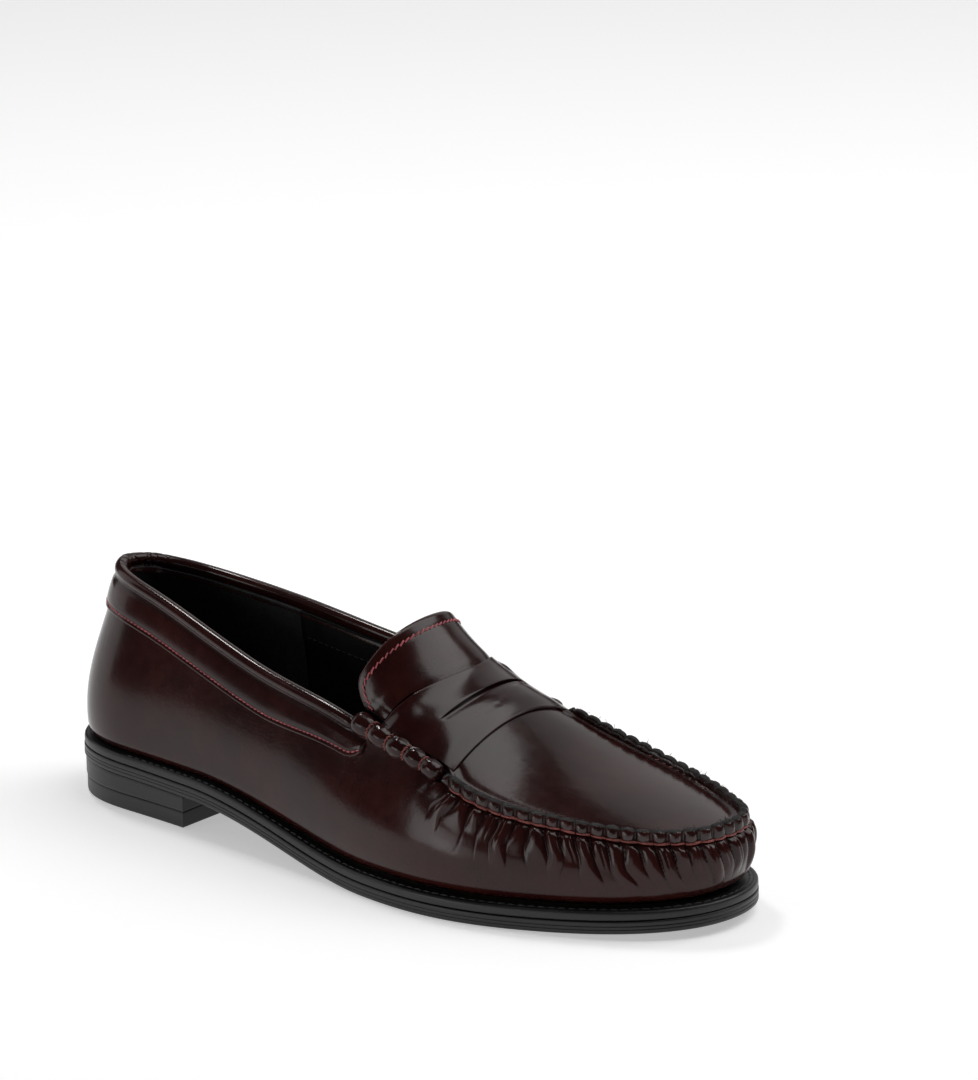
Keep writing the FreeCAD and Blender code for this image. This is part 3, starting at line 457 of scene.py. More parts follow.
class Tree:
    """A node tree, built node by node."""

    def __init__(self, group):
        self.group = group

    def add(self, kind, settings=None, values=None, out=0):
        """A new node: its settings first, then the values or links of its sockets."""
        node = self.group.nodes.new(kind)
        for key, value in (settings or {}).items():
            if key == "stops":
                self.set_stops(node.color_ramp.elements, value)
            else:
                setattr(node, key, value)
        for key, value in (values or {}).items():
            if isinstance(value, Wire):
                self.group.links.new(value.socket, node.inputs[key])
            else:
                node.inputs[key].default_value = value
        return Wire(self, node.outputs[out]) if node.outputs else node

    def set_stops(self, elements, stops):
        for i, (position, colour) in enumerate(stops):
            element = elements[i] if i < len(elements) else elements.new(position)
            element.position, element.color = position, colour

    def maths(self, operation, *values, clamp=False):
        sockets = dict(enumerate(values))
        return self.add("ShaderNodeMath", {"operation": operation, "use_clamp": clamp}, sockets)

    def blend(self, share, a, b):
        """Colour from a to b."""
        return self.add("ShaderNodeMix", {"data_type": "RGBA"}, {0: share, 6: a, 7: b}, 2)

    def limits(self, value, low, high, to_low=0.0, to_high=1.0):
        """A value's range carried over smoothly to another."""
        kind = {"interpolation_type": "SMOOTHSTEP"}
        return self.add("ShaderNodeMapRange", kind, {0: value, 1: low, 2: high, 3: to_low, 4: to_high})

    def noise(self, place, scale, detail=3.0, rough=0.55, stretch=None):
        if stretch is not None:
            place = self.add("ShaderNodeMapping", {}, {0: place, 3: stretch})
        return self.add("ShaderNodeTexNoise", {}, {"Vector": place, "Scale": scale, "Detail": detail, "Roughness": rough})


# ---- sizes and colours a user would change -----------------------------------------------------
def length_value(name, description, value):
    return bpy.props.FloatProperty(name=name, description=description, default=value, min=0.0, unit="LENGTH", precision=5)


def colour_value(name, description, value):
    return bpy.props.FloatVectorProperty(
        name=name, description=description, default=(*value, 1.0), size=4, min=0.0, max=1.0, subtype="COLOR"
    )


class LoaferSizes(bpy.types.PropertyGroup):
    """Sizes of the leather's folds and of the sewing."""

    seam_lumps: bpy.props.IntProperty(name="Seam lumps", description="Lumps along the apron seam", default=39, min=4)
    lump_depth: length_value("Lump depth", "How far a seam lump bulges out", 0.0016)
    lump_rise: length_value("Lump rise", "How far a seam lump stands above its notches", 0.0010)
    gather_depth: length_value("Gather depth", "Height of the wall's folds under the seam", 0.0018)
    gather_length: length_value("Gather length", "How far down the wall the folds run", 0.015)
    seam_thread: length_value("Seam thread", "Thickness of the thread under the seam lumps", 0.00085)
    fine_thread: length_value("Fine thread", "Thickness of the collar and tongue thread", 0.00050)
    wrap_thread: length_value("Wrap thread", "Thickness of each strand round the beef rolls", 0.0010)
    collar_pitch: length_value("Collar pitch", "Distance from stitch to stitch on the collar", 0.0019)
    tongue_pitch: length_value("Tongue pitch", "Distance from stitch to stitch on the tongue", 0.0022)
    welt_pitch: length_value("Welt pitch", "Distance from stitch to stitch on the welt", 0.0034)
    neck_depth: length_value("Neck depth", "How deep the wraps pull into the beef rolls", 0.0015)
    fibre_length: length_value("Fibre length", "Length of the frayed fibres on raw edges", 0.0011)
    seed: bpy.props.IntProperty(name="Seed", description="Seed of every irregular detail", default=7, min=0)


class LoaferColours(bpy.types.PropertyGroup):
    """Colours of the leather, thread, sole and stage."""

    # Leather, deep is also the colour of the painted shade in creases; Leather, warm is also the colour of the painted
    # highlights along edges and the strap's pressed line.
    leather_deep: colour_value("Leather, deep", "Oxblood leather in its darkest places", (0.0150, 0.0024, 0.0022))
    leather_warm: colour_value("Leather, warm", "Oxblood leather where the dye is thinner", (0.0400, 0.0085, 0.0062))
    raw_edge: colour_value("Raw edge", "Cut edges of the leather", (0.014, 0.0115, 0.0105))
    fine_red: colour_value("Fine thread", "Crimson thread of collar and tongue", (0.400, 0.070, 0.085))
    thick_red: colour_value("Thick thread", "Brick-red thread of seam and beef rolls", (0.200, 0.038, 0.028))
    black_thread: colour_value("Black thread", "Thread of welt, back tab and lining", (0.012, 0.012, 0.012))
    rubber: colour_value("Rubber", "Sole, welt and heel", (0.0095, 0.0095, 0.0098))
    lining: colour_value("Lining", "Smooth lining leather", (0.0075, 0.0078, 0.0074))
    suede: colour_value("Suede", "Heel grip lining", (0.0120, 0.0125, 0.0118))
    floor: colour_value("Floor", "Pale stage floor", (0.78, 0.78, 0.78))


def sizes():
    return bpy.context.scene.loafer_sizes


def colours():
    return bpy.context.scene.loafer_colours


# ---- finishes ------------------------------------------------------------------------------------
def finish_named(name, build, *extra):
    """The finish of that name, built once."""
    made = bpy.data.materials.get(name)
    if made is None:
        made = bpy.data.materials.new(name)
        made.use_nodes = True
        made.node_tree.nodes.clear()
        build(Tree(made.node_tree), *extra)
    return made


def object_place(tree):
    return tree.add("ShaderNodeTexCoord", out=3)


def close_finish(tree, height, depth, values):
    """Principled surface over a bump of that height and depth."""
    bump = tree.add("ShaderNodeBump", {}, {"Strength": 1.0, "Distance": depth, "Height": height})
    shader = tree.add("ShaderNodeBsdfPrincipled", {}, {**values, "Normal": bump})
    tree.add("ShaderNodeOutputMaterial", {}, {"Surface": shader})


def paint_leather(tree, gloss):
    """Polished oxblood leather: mottled dye, fine pores, dust specks, folds duller and darkened with painted shade,
    edges lightened with painted highlights.
    """
    place = object_place(tree)
    tone = tree.limits(tree.noise(place, 26.0, 4.0, 0.6), 0.35, 0.68)
    mottle = tree.noise(place, 240.0, 3.0)
    # The first attribute read here marks creases, notches and tucks, which the colour darkens as painted shade; the
    # second marks cut edges and the strap's pressed line, which the colour lightens as painted highlights.
    fold = tree.add("ShaderNodeAttribute", {"attribute_name": "fold"}, out=2)
    worn = tree.add("ShaderNodeAttribute", {"attribute_name": "worn"}, out=2)
    share = tree.maths("ADD", tone * 0.55 + (mottle - 0.5) * 0.5, worn * 0.7 - fold * 0.6, clamp=True)
    base = tree.blend(share, list(colours().leather_deep), list(colours().leather_warm))
    speck = tree.limits(tree.noise(place, 1500.0, 1.0), 0.80, 0.86)
    base = tree.blend(speck * 0.35, base, (0.09, 0.075, 0.07, 1.0))
    cell = tree.add("ShaderNodeTexVoronoi", {}, {"Vector": place, "Scale": 1300.0, "Randomness": 1.0})
    pore = tree.limits(cell, 0.0, 0.35)
    grain = tree.noise(place, 800.0, 4.0, 0.6)
    wave = tree.noise(place, 70.0, 2.0)
    height = pore * 0.22 + grain * 0.5 + wave * 2.2
    dull = mottle * 0.10 + fold * 0.10 + speck * 0.2
    close_finish(tree, height, 0.00006, {
        "Base Color": base, "Roughness": dull + gloss, "Specular IOR Level": 0.25,
        "Coat Weight": 0.10, "Coat Roughness": 0.09, "Coat IOR": 1.5,
    })


def paint_raw_edge(tree):
    """Cut leather edge: dark, fibrous, rubbed paler on its high parts."""
    place = object_place(tree)
    fibre = tree.noise(place, 900.0, 5.0, 0.7, (1.0, 1.0, 0.45))
    lump = tree.noise(place, 1900.0, 3.0, 0.7)
    share = tree.limits(fibre * 0.6 + lump * 0.4, 0.42, 0.66)
    base = tree.blend(share, (0.006, 0.004, 0.004, 1.0), list(colours().raw_edge))
    close_finish(tree, fibre + lump * 0.6, 0.00028, {"Base Color": base, "Roughness": share * 0.2 + 0.42})


def paint_ridge(tree):
    """Upturned seam edge: leather on its sides, raw and fibrous along its crown, with painted shade darkening the
    notches between its lumps.
    """
    place = object_place(tree)
    crown = tree.add("ShaderNodeAttribute", {"attribute_name": "crown"}, out=2)
    fold = tree.add("ShaderNodeAttribute", {"attribute_name": "fold"}, out=2)
    fibre = tree.noise(place, 1100.0, 5.0, 0.7)
    rag = tree.limits(crown + (fibre - 0.5) * 1.1, 0.66, 0.92)
    tone = tree.limits(tree.noise(place, 300.0, 3.0), 0.35, 0.7)
    skin = tree.blend(tone * 0.7, list(colours().leather_deep), list(colours().leather_warm))
    # Painted shade: the notches between the lumps are blended towards near black.
    skin = tree.blend(tree.limits(fold, 0.45, 0.95) * 0.85, skin, (0.0015, 0.0008, 0.0008, 1.0))
    raw = tree.blend(tree.limits(fibre, 0.38, 0.68), (0.006, 0.005, 0.005, 1.0), list(colours().raw_edge))
    height = fibre * rag * 3.0 + fibre * 0.5 + tree.noise(place, 420.0, 2.0) * 1.6
    close_finish(tree, height, 0.00013, {
        "Base Color": tree.blend(rag, skin, raw), "Roughness": rag * 0.45 + fold * 0.2 + 0.20,
        "Specular IOR Level": 0.4, "Coat Weight": (1.0 - rag) * 0.15, "Coat Roughness": 0.09,
    })


def paint_thread(tree, colour, twist):
    """Twisted sewing thread with lighter and darker plies."""
    place = object_place(tree)
    ply = tree.noise(place, twist, 3.0, 0.6)
    dye = tree.noise(place, 130.0, 2.0)
    dark = [c * 0.42 for c in colour[:3]] + [1.0]
    pale = [min(c * 1.5 + 0.02, 1.0) for c in colour[:3]] + [1.0]
    base = tree.blend(tree.limits(ply * 0.7 + dye * 0.3, 0.34, 0.66), dark, pale)
    close_finish(tree, ply, 0.00016, {"Base Color": base, "Roughness": ply * 0.2 + 0.42})


def paint_rubber(tree, ribs):
    """Satin black rubber with a moulded skin, finely scuffed; ribs are cast into its underside."""
    place = object_place(tree)
    skin = tree.noise(place, 1700.0, 3.0, 0.6)
    flow = tree.noise(place, 60.0, 3.0, 0.6, (0.35, 0.35, 3.0))
    share = tree.limits(flow * 0.7 + skin * 0.3, 0.35, 0.7)
    deep = [c * 0.55 for c in colours().rubber[:3]] + [1.0]
    pale = [c * 1.7 for c in colours().rubber[:3]] + [1.0]
    base = tree.blend(share, deep, pale)
    height = skin * 0.35 + flow * 0.5
    if ribs:
        tread = tree.add("ShaderNodeAttribute", {"attribute_name": "tread"}, out=2)
        wave = tree.add("ShaderNodeTexWave", {"wave_profile": "SIN", "bands_direction": "X"}, {"Vector": place, "Scale": 52.0, "Distortion": 0.0})
        height = height + tree.limits(wave, 0.25, 0.6) * tread * 9.0
    close_finish(tree, height, 0.00005, {
        "Base Color": base, "Roughness": share * 0.12 + 0.36, "Specular IOR Level": 0.42,
    })


def paint_lining(tree, rough):
    """Black lining leather, lightly pebbled."""
    place = object_place(tree)
    cell = tree.add("ShaderNodeTexVoronoi", {"feature": "SMOOTH_F1"}, {"Vector": place, "Scale": 900.0})
    tone = tree.noise(place, 90.0, 4.0)
    dark = [c * 0.5 for c in colours().lining[:3]] + [1.0]
    base = tree.blend(tree.limits(tone, 0.3, 0.7), dark, list(colours().lining))
    height = cell * 0.8 + tree.noise(place, 1500.0, 3.0) * 0.4
    close_finish(tree, height, 0.00009, {"Base Color": base, "Roughness": tone * 0.15 + rough, "Specular IOR Level": 0.35})


def paint_suede(tree):
    """Black suede: brushed nap in patches, no gloss."""
    place = object_place(tree)
    nap = tree.noise(place, 420.0, 5.0, 0.7)
    brush = tree.noise(place, 60.0, 3.0, 0.6)
    fibre = tree.noise(place, 2600.0, 2.0)
    share = tree.limits(nap * 0.5 + brush * 0.5, 0.38, 0.64)
    dark = [c * 0.35 for c in colours().suede[:3]] + [1.0]
    pale = [c * 1.5 for c in colours().suede[:3]] + [1.0]
    close_finish(tree, nap + fibre * 0.6, 0.00022, {
        "Base Color": tree.blend(share, dark, pale), "Roughness": fibre * 0.1 + 0.85,
        "Specular IOR Level": 0.15, "Sheen Weight": 0.25, "Sheen Roughness": 0.5,
    })


def paint_cork(tree):
    """Cork filler: packed granules in a brown binder."""
    place = object_place(tree)
    cell = tree.add("ShaderNodeTexVoronoi", {}, {"Vector": place, "Scale": 420.0}, out=1)
    grey = tree.add("ShaderNodeSeparateColor", {}, {0: cell})
    edge = tree.add("ShaderNodeTexVoronoi", {"feature": "DISTANCE_TO_EDGE"}, {"Vector": place, "Scale": 420.0})
    base = tree.blend(grey, (0.12, 0.062, 0.03, 1.0), (0.36, 0.21, 0.11, 1.0))
    base = tree.blend(tree.limits(edge, 0.0, 0.08), (0.05, 0.025, 0.012, 1.0), base)
    close_finish(tree, tree.limits(edge, 0.0, 0.2), 0.0004, {"Base Color": base, "Roughness": grey * 0.2 + 0.7})


def paint_board(tree):
    """Pressed fibreboard, flecked and matt."""
    place = object_place(tree)
    fibre = tree.noise(place, 500.0, 5.0, 0.7, (0.3, 1.0, 1.0))
    cloud = tree.noise(place, 40.0, 2.0)
    base = tree.blend(tree.limits(fibre * 0.7 + cloud * 0.3, 0.35, 0.65), (0.10, 0.065, 0.04, 1.0), (0.27, 0.19, 0.12, 1.0))
    close_finish(tree, fibre, 0.0002, {"Base Color": base, "Roughness": fibre * 0.15 + 0.75})


def paint_foam(tree):
    """Heel-pad foam with open cells, their pores darkened with painted shade."""
    place = object_place(tree)
    cell = tree.add("ShaderNodeTexVoronoi", {"feature": "DISTANCE_TO_EDGE"}, {"Vector": place, "Scale": 1500.0})
    pore_shade = tree.limits(cell, 0.02, 0.2)
    # Painted shade: the inside of each pore is darker than the cell walls.
    base = tree.blend(pore_shade, (0.42, 0.40, 0.33, 1.0), (0.16, 0.15, 0.12, 1.0))
    close_finish(tree, 1.0 - pore_shade, 0.0003, {"Base Color": base, "Roughness": pore_shade * 0.1 + 0.8})


def paint_steel(tree):
    """Rolled steel with fine lengthways scratches and a trace of rust."""
    place = object_place(tree)
    scratch = tree.noise(place, 900.0, 3.0, 0.7, (0.08, 1.0, 1.0))
    rust = tree.limits(tree.noise(place, 120.0, 4.0, 0.65), 0.62, 0.72)
    base = tree.blend(rust * 0.5, (0.42, 0.43, 0.45, 1.0), (0.20, 0.08, 0.035, 1.0))
    close_finish(tree, scratch, 0.00008, {
        "Base Color": base, "Roughness": scratch * 0.2 + rust * 0.3 + 0.22, "Metallic": 1.0 - rust * 0.5,
    })


def leather():
    return finish_named("polished_leather", paint_leather, 0.13)


def raw_edge():
    return finish_named("raw_leather_edge", paint_raw_edge)


def ridge_finish():
    return finish_named("seam_edge_leather", paint_ridge)


def fine_red():
    return finish_named("fine_red_thread", paint_thread, list(colours().fine_red), 2600.0)


def thick_red():
    return finish_named("thick_red_thread", paint_thread, list(colours().thick_red), 1900.0)


def black_thread():
    return finish_named("dull_black_thread", paint_thread, list(colours().black_thread), 2200.0)


def rubber():
    return finish_named("satin_rubber", paint_rubber, False)


def ribbed_rubber():
    return finish_named("ribbed_rubber", paint_rubber, True)


def lining_finish():
    return finish_named("pebbled_lining", paint_lining, 0.42)


def suede():
    return finish_named("brushed_suede", paint_suede)


# ---- patterns made with geometry nodes ----------------------------------------------------------
def new_pattern(name, inputs):
    """Empty geometry tree with named inputs; gives the tree and its input wires."""
    group = bpy.data.node_groups.new(name, "GeometryNodeTree")
    group.interface.new_socket("Geometry", in_out="INPUT", socket_type="NodeSocketGeometry")
    for key, kind, value in inputs:
        socket = group.interface.new_socket(key, in_out="INPUT", socket_type=kind)
        socket.default_value = value
    group.interface.new_socket("Geometry", in_out="OUTPUT", socket_type="NodeSocketGeometry")
    tree = Tree(group)
    node = group.nodes.new("NodeGroupInput")
    return tree, {output.name: Wire(tree, output) for output in node.outputs if output.name}


def close_pattern(tree, geometry, finish):
    """The tree's end: real geometry, smooth, in its finish."""
    geometry = tree.add("GeometryNodeRealizeInstances", {}, {0: geometry})
    geometry = tree.add("GeometryNodeSetShadeSmooth", {}, {0: geometry})
    geometry = tree.add("GeometryNodeSetMaterial", {}, {0: geometry, "Material": finish})
    tree.add("NodeGroupOutput", {}, {0: geometry})


def named_value(tree, key, kind="FLOAT"):
    return tree.add("GeometryNodeInputNamedAttribute", {"data_type": kind}, {"Name": key})


def facing_turn(tree):
    """Turn that lays an instance along its path with its Z outwards."""
    facing = named_value(tree, "facing", "FLOAT_VECTOR")
    along = tree.add("GeometryNodeInputTangent")
    return tree.add("FunctionNodeAxesToRotation", {"primary_axis": "Z", "secondary_axis": "X"}, {0: facing, 1: along})


def stitch_pattern(finish):
    """Row of stitches along a path: each an arched length of thread, laid at a slant."""
    tree, given = new_pattern("stitch_row_" + finish.name, (
        ("Count", "NodeSocketInt", 10), ("Stitch Length", "NodeSocketFloat", 0.0015),
        ("Thread", "NodeSocketFloat", 0.0004), ("Arch", "NodeSocketFloat", 0.0003),
        ("Sag", "NodeSocketFloat", 0.0), ("Slant", "NodeSocketFloat", 0.0), ("Seed", "NodeSocketInt", 1),
    ))
    line = tree.add("GeometryNodeMeshToCurve", {}, {0: given["Geometry"]})
    line = tree.add("GeometryNodeResampleCurve", {"mode": "COUNT"}, {"Curve": line, "Count": given["Count"]})
    half = given["Stitch Length"] * 0.5
    start = tree.add("ShaderNodeCombineXYZ", {}, {0: half * -1.0, 1: 0.0, 2: given["Thread"] * -0.3})
    middle = tree.add("ShaderNodeCombineXYZ", {}, {0: 0.0, 1: given["Sag"], 2: given["Arch"]})
    end = tree.add("ShaderNodeCombineXYZ", {}, {0: half, 1: 0.0, 2: given["Thread"] * -0.3})
    bow = tree.add("GeometryNodeCurveQuadraticBezier", {}, {"Resolution": 7, "Start": start, "Middle": middle, "End": end})
    round_thread = tree.add("GeometryNodeCurvePrimitiveCircle", {}, {"Resolution": 7, "Radius": given["Thread"] * 0.5})
    stitch = tree.add("GeometryNodeCurveToMesh", {}, {0: bow, 1: round_thread, "Fill Caps": True})
    chance = {"data_type": "FLOAT"}
    sway = tree.add("FunctionNodeRandomValue", chance, {2: -0.10, 3: 0.10, "Seed": given["Seed"]}, 1)
    grow = tree.add("FunctionNodeRandomValue", chance, {2: 0.90, 3: 1.08, "Seed": given["Seed"] + 1}, 1)
    slant = tree.add("ShaderNodeCombineXYZ", {}, {2: given["Slant"] + sway})
    lean = tree.add("FunctionNodeEulerToRotation", {}, {0: slant})
    turn = tree.add("FunctionNodeRotateRotation", {"rotation_space": "LOCAL"}, {0: facing_turn(tree), 1: lean})
    rows = {"Points": line, "Instance": stitch, "Rotation": turn, "Scale": grow}
    close_pattern(tree, tree.add("GeometryNodeInstanceOnPoints", {}, rows), finish)
    return tree.group


def wrap_pattern(finish):
    """Rings of two twisted strands round a beef roll, one at each point of a path."""
    tree, given = new_pattern("thread_wraps", (
        ("Strand", "NodeSocketFloat", 0.0006), ("Ring Radius", "NodeSocketFloat", 0.004), ("Twists", "NodeSocketFloat", 9.0),
    ))
    line = tree.add("GeometryNodeMeshToCurve", {}, {0: given["Geometry"]})
    ring = tree.add("GeometryNodeCurvePrimitiveCircle", {}, {"Resolution": 64, "Radius": given["Ring Radius"]})
    share = tree.add("GeometryNodeSplineParameter", out=0)
    ring = tree.add("GeometryNodeSetCurveTilt", {}, {0: ring, "Tilt": share * given["Twists"] * math.tau})
    strand = tree.add("GeometryNodeCurvePrimitiveCircle", {}, {"Resolution": 8, "Radius": given["Strand"] * 0.5})
    pair = []
    for side in (-0.42, 0.42):
        shift = tree.add("ShaderNodeCombineXYZ", {}, {0: given["Strand"] * side})
        pair.append(tree.add("GeometryNodeTransform", {}, {0: strand, "Translation": shift}))
    both = tree.group.nodes.new("GeometryNodeJoinGeometry")
    for wire in pair:
        tree.group.links.new(wire.socket, both.inputs[0])
    ring = tree.add("GeometryNodeCurveToMesh", {}, {0: ring, 1: Wire(tree, both.outputs[0])})
    axis = named_value(tree, "facing", "FLOAT_VECTOR")
    turn = tree.add("FunctionNodeAlignRotationToVector", {"axis": "Z"}, {"Vector": axis})
    size = named_value(tree, "size")
    rows = {"Points": line, "Instance": ring, "Rotation": turn, "Scale": size}
    close_pattern(tree, tree.add("GeometryNodeInstanceOnPoints", {}, rows), finish)
    return tree.group


def lump_pattern(finish):
    """Seam edge drawn into lumps by the thread, with a ragged crown, and a mask of its notches for the painted shade of
    its finish.
    """
    tree, given = new_pattern("seam_lumps", (
        ("Pitch", "NodeSocketFloat", 0.005), ("Depth", "NodeSocketFloat", 0.0007),
        ("Rise", "NodeSocketFloat", 0.0005), ("Seed", "NodeSocketInt", 1),
    ))
    phase = named_value(tree, "run") / given["Pitch"]
    cell = tree.maths("FLOOR", phase)
    lump = tree.maths("SINE", (phase - cell) * math.pi) ** 0.42
    chance = {"data_type": "FLOAT"}
    odd = tree.add("FunctionNodeRandomValue", chance, {2: -1.0, 3: 1.0, "ID": cell, "Seed": given["Seed"]}, 1)
    tall = tree.add("FunctionNodeRandomValue", chance, {2: -1.0, 3: 1.0, "ID": cell, "Seed": given["Seed"] + 5}, 1)
    place = tree.add("GeometryNodeInputPosition")
    rough = tree.noise(place, 520.0, 3.0, 0.6) - 0.5
    ragged = tree.noise(place, 1500.0, 3.0, 0.7) - 0.5
    out = (lump - 0.62) * given["Depth"] * 1.6 * (odd * 0.22 + 1.0) + rough * 0.0005
    out = out * named_value(tree, "rim")
    up = ((lump - 0.55) * given["Rise"] * (tall * 0.5 + 1.0) + ragged * 0.0011) * named_value(tree, "crown")
    facing = named_value(tree, "facing", "FLOAT_VECTOR")
    push = tree.add("ShaderNodeVectorMath", {"operation": "SCALE"}, {0: facing, 3: out})
    lift = tree.add("ShaderNodeCombineXYZ", {}, {2: up})
    shift = tree.add("ShaderNodeVectorMath", {"operation": "ADD"}, {0: push, 1: lift})
    # Mask of the notches between lumps, darkened in the finish as painted shade.
    fold = {"Geometry": given["Geometry"], "Name": "fold", "Value": 1.0 - lump}
    geometry = tree.add("GeometryNodeStoreNamedAttribute", {"data_type": "FLOAT", "domain": "POINT"}, fold)
    geometry = tree.add("GeometryNodeSetPosition", {}, {0: geometry, "Offset": shift})
    close_pattern(tree, geometry, finish)
    return tree.group


def fray_pattern(finish):
    """Short bent fibres standing on a raw edge."""
    tree, given = new_pattern("frayed_fibres", (
        ("Density", "NodeSocketFloat", 2000000.0), ("Fibre Length", "NodeSocketFloat", 0.001), ("Seed", "NodeSocketInt", 1),
    ))
    spread = tree.group.nodes.new("GeometryNodeDistributePointsOnFaces")
    links = tree.group.links
    links.new(given["Geometry"].socket, spread.inputs["Mesh"])
    links.new((given["Density"] * named_value(tree, "fray")).socket, spread.inputs["Density"])
    links.new(given["Seed"].socket, spread.inputs["Seed"])
    points, turn = Wire(tree, spread.outputs["Points"]), Wire(tree, spread.outputs["Rotation"])
    tip = tree.add("ShaderNodeCombineXYZ", {}, {0: given["Fibre Length"] * 0.45, 2: given["Fibre Length"]})
    knee = tree.add("ShaderNodeCombineXYZ", {}, {2: given["Fibre Length"] * 0.7})
    fibre = tree.add("GeometryNodeCurveQuadraticBezier", {}, {"Resolution": 4, "Middle": knee, "End": tip, "Start": (0.0, 0.0, 0.0)})
    profile = tree.add("GeometryNodeCurvePrimitiveCircle", {}, {"Resolution": 3, "Radius": 0.000055})
    fibre = tree.add("GeometryNodeCurveToMesh", {}, {0: fibre, 1: profile})
    wild = tree.add("FunctionNodeRandomValue", {"data_type": "FLOAT_VECTOR"}, {0: (-1.1, -1.1, -3.1), 1: (1.1, 1.1, 3.1), "Seed": given["Seed"]}, 0)
    lean = tree.add("FunctionNodeEulerToRotation", {}, {0: wild})
    turn = tree.add("FunctionNodeRotateRotation", {"rotation_space": "LOCAL"}, {0: turn, 1: lean})
    grow = tree.add("FunctionNodeRandomValue", {"data_type": "FLOAT"}, {2: 0.4, 3: 1.4, "Seed": given["Seed"]}, 1)
    rows = {"Points": points, "Instance": fibre, "Rotation": turn, "Scale": grow}
    close_pattern(tree, tree.add("GeometryNodeInstanceOnPoints", {}, rows), finish)
    return tree.group


def pattern_on(source, group, values, name, keep_source=False):
    """Plain mesh of a pattern laid over its source."""
    modifier = source.modifiers.new("Pattern", "NODES")
    modifier.node_group = group
    for item in group.interface.items_tree:
        if item.item_type == "SOCKET" and item.in_out == "INPUT" and item.name in values:
            modifier[item.identifier] = values[item.name]
    mesh = bpy.data.meshes.new_from_object(source.evaluated_get(bpy.context.evaluated_depsgraph_get()))
    source.modifiers.remove(modifier)
    if not keep_source:
        bpy.data.objects.remove(source)
    mesh.name = name
    piece = bpy.data.objects.new(name, mesh)
    bpy.context.scene.collection.objects.link(piece)
    return piece


def stitches(name, points, out, finish, pitch, count=None, **values):
    """A row of stitches on a line of points in mm, with the directions that face out."""
    path = path_mesh(name + "_path", points, out)
    length = lateral_length(points)[-1] / 1000.0
    given = {"Count": count or max(2, round(length / pitch)), "Seed": sizes().seed}
    given.update({key.replace("_", " ").title(): value for key, value in values.items()})
    group = bpy.data.node_groups.get("stitch_row_" + finish.name) or stitch_pattern(finish)
    return pattern_on(path, group, given, name)


# ---- seam measures -------------------------------------------------------------------------------
SEAM_PLACES = np.linspace(SEAM_START, SEAM_END, 900)
SEAM_RUN = lateral_length(top_point(SEAM_PLACES))
SEAM_TOTAL = SEAM_RUN[-1]


def seam_place(run):
    """Place along the sole edge of a length along the seam."""
    return np.interp(run, SEAM_RUN, SEAM_PLACES)


def seam_run(u):
    """Length along the seam, carried on past its two ends."""
    u = np.asarray(u, float)
    inside = np.interp(u, SEAM_PLACES, SEAM_RUN)
    return inside + (u - np.clip(u, SEAM_START, SEAM_END)) * 560.0


def outward(u):
    """Level direction out of the shoe."""
    _, _, out_x, out_y = edge_point(u, 0.0)
    return stack(out_x, out_y, 0.0 * out_x)


def gathers(run, below):
    """Folds of the wall under the seam: how far they stand out in mm, and how strongly each valley is darkened with
    painted shade.
    """
    pitch, seed = SEAM_TOTAL / sizes().seam_lumps, sizes().seed
    depth, reach = sizes().gather_depth * 1000.0, sizes().gather_length * 1000.0
    lean = np.interp(run, [0, 25, 70, 97, 125, 170, SEAM_TOTAL], [-0.35, 0.0, 0.42, 0.05, -0.4, 0.0, 0.35])
    wander = noise_2d(run / 9.0, below / 9.0, seed) * 0.35 * smooth(2.0, 12.0, below)
    phase = (run - lean * below) / pitch + wander
    cell = np.floor(phase).astype(int)
    chance = np.random.default_rng(seed + 3).uniform(0.0, 1.0, (3, 512))
    tall, long, split = chance[:, cell % 512]
    length = reach * (0.7 + 0.75 * long)
    puff = np.abs(np.sin(np.pi * phase)) ** 0.62
    grown = smooth(0.3, 4.0, below) * (1.0 - smooth(0.30 * length, length, below))
    strength = smooth(-16.0, 6.0, run) * smooth(-16.0, 6.0, SEAM_TOTAL - run)
    folds = depth * (0.55 + 0.6 * tall) * grown * puff
    middle = np.exp(-((phase - cell - 0.5 + 0.25 * (long - 0.5)) / 0.07) ** 2)
    folds -= 0.35 * depth * (split > 0.55) * middle * smooth(1.5, 4.0, below) * (1.0 - smooth(5.0, 12.0, below))
    pinch = (1.0 - puff) * np.exp(-below / 2.6)
    crinkle = noise_2d(phase * 5.5, below / 3.2, seed + 1) * 0.20 * np.exp(-((below - 2.6) / 2.8) ** 2)
    crinkle += noise_2d(phase * 12.0, below / 1.6, seed + 2) * 0.085 * np.exp(-((below - 2.8) / 2.2) ** 2)
    gash = np.exp(-((phase - cell) / 0.05) ** 2) + np.exp(-((cell + 1 - phase) / 0.05) ** 2)
    gash = gash * smooth(3.0, 7.0, below) * (1.0 - smooth(10.0, 22.0, below))
    lift = strength * (folds - 0.45 * pinch + crinkle - 0.10 * gash)
    # Mask of the valleys, the pinched band under the seam and the gashes, darkened in the leather as painted shade.
    valley_shade = strength * np.clip((1.0 - puff) * grown + pinch + 0.5 * gash, 0.0, 1.0)
    return lift, valley_shade


def columns_by_spacing(start, end, spacing, fine=8000):
    """Places from start to end whose distances follow spacing(u), in mm."""
    u = np.linspace(start, end, fine)
    step = np.linalg.norm(np.diff(top_point(u), axis=0), axis=1)
    count = np.concatenate([[0.0], np.cumsum(step / spacing((u[1:] + u[:-1]) / 2.0))])
    return np.interp(np.linspace(0.0, count[-1], int(count[-1]) + 1), count, u)


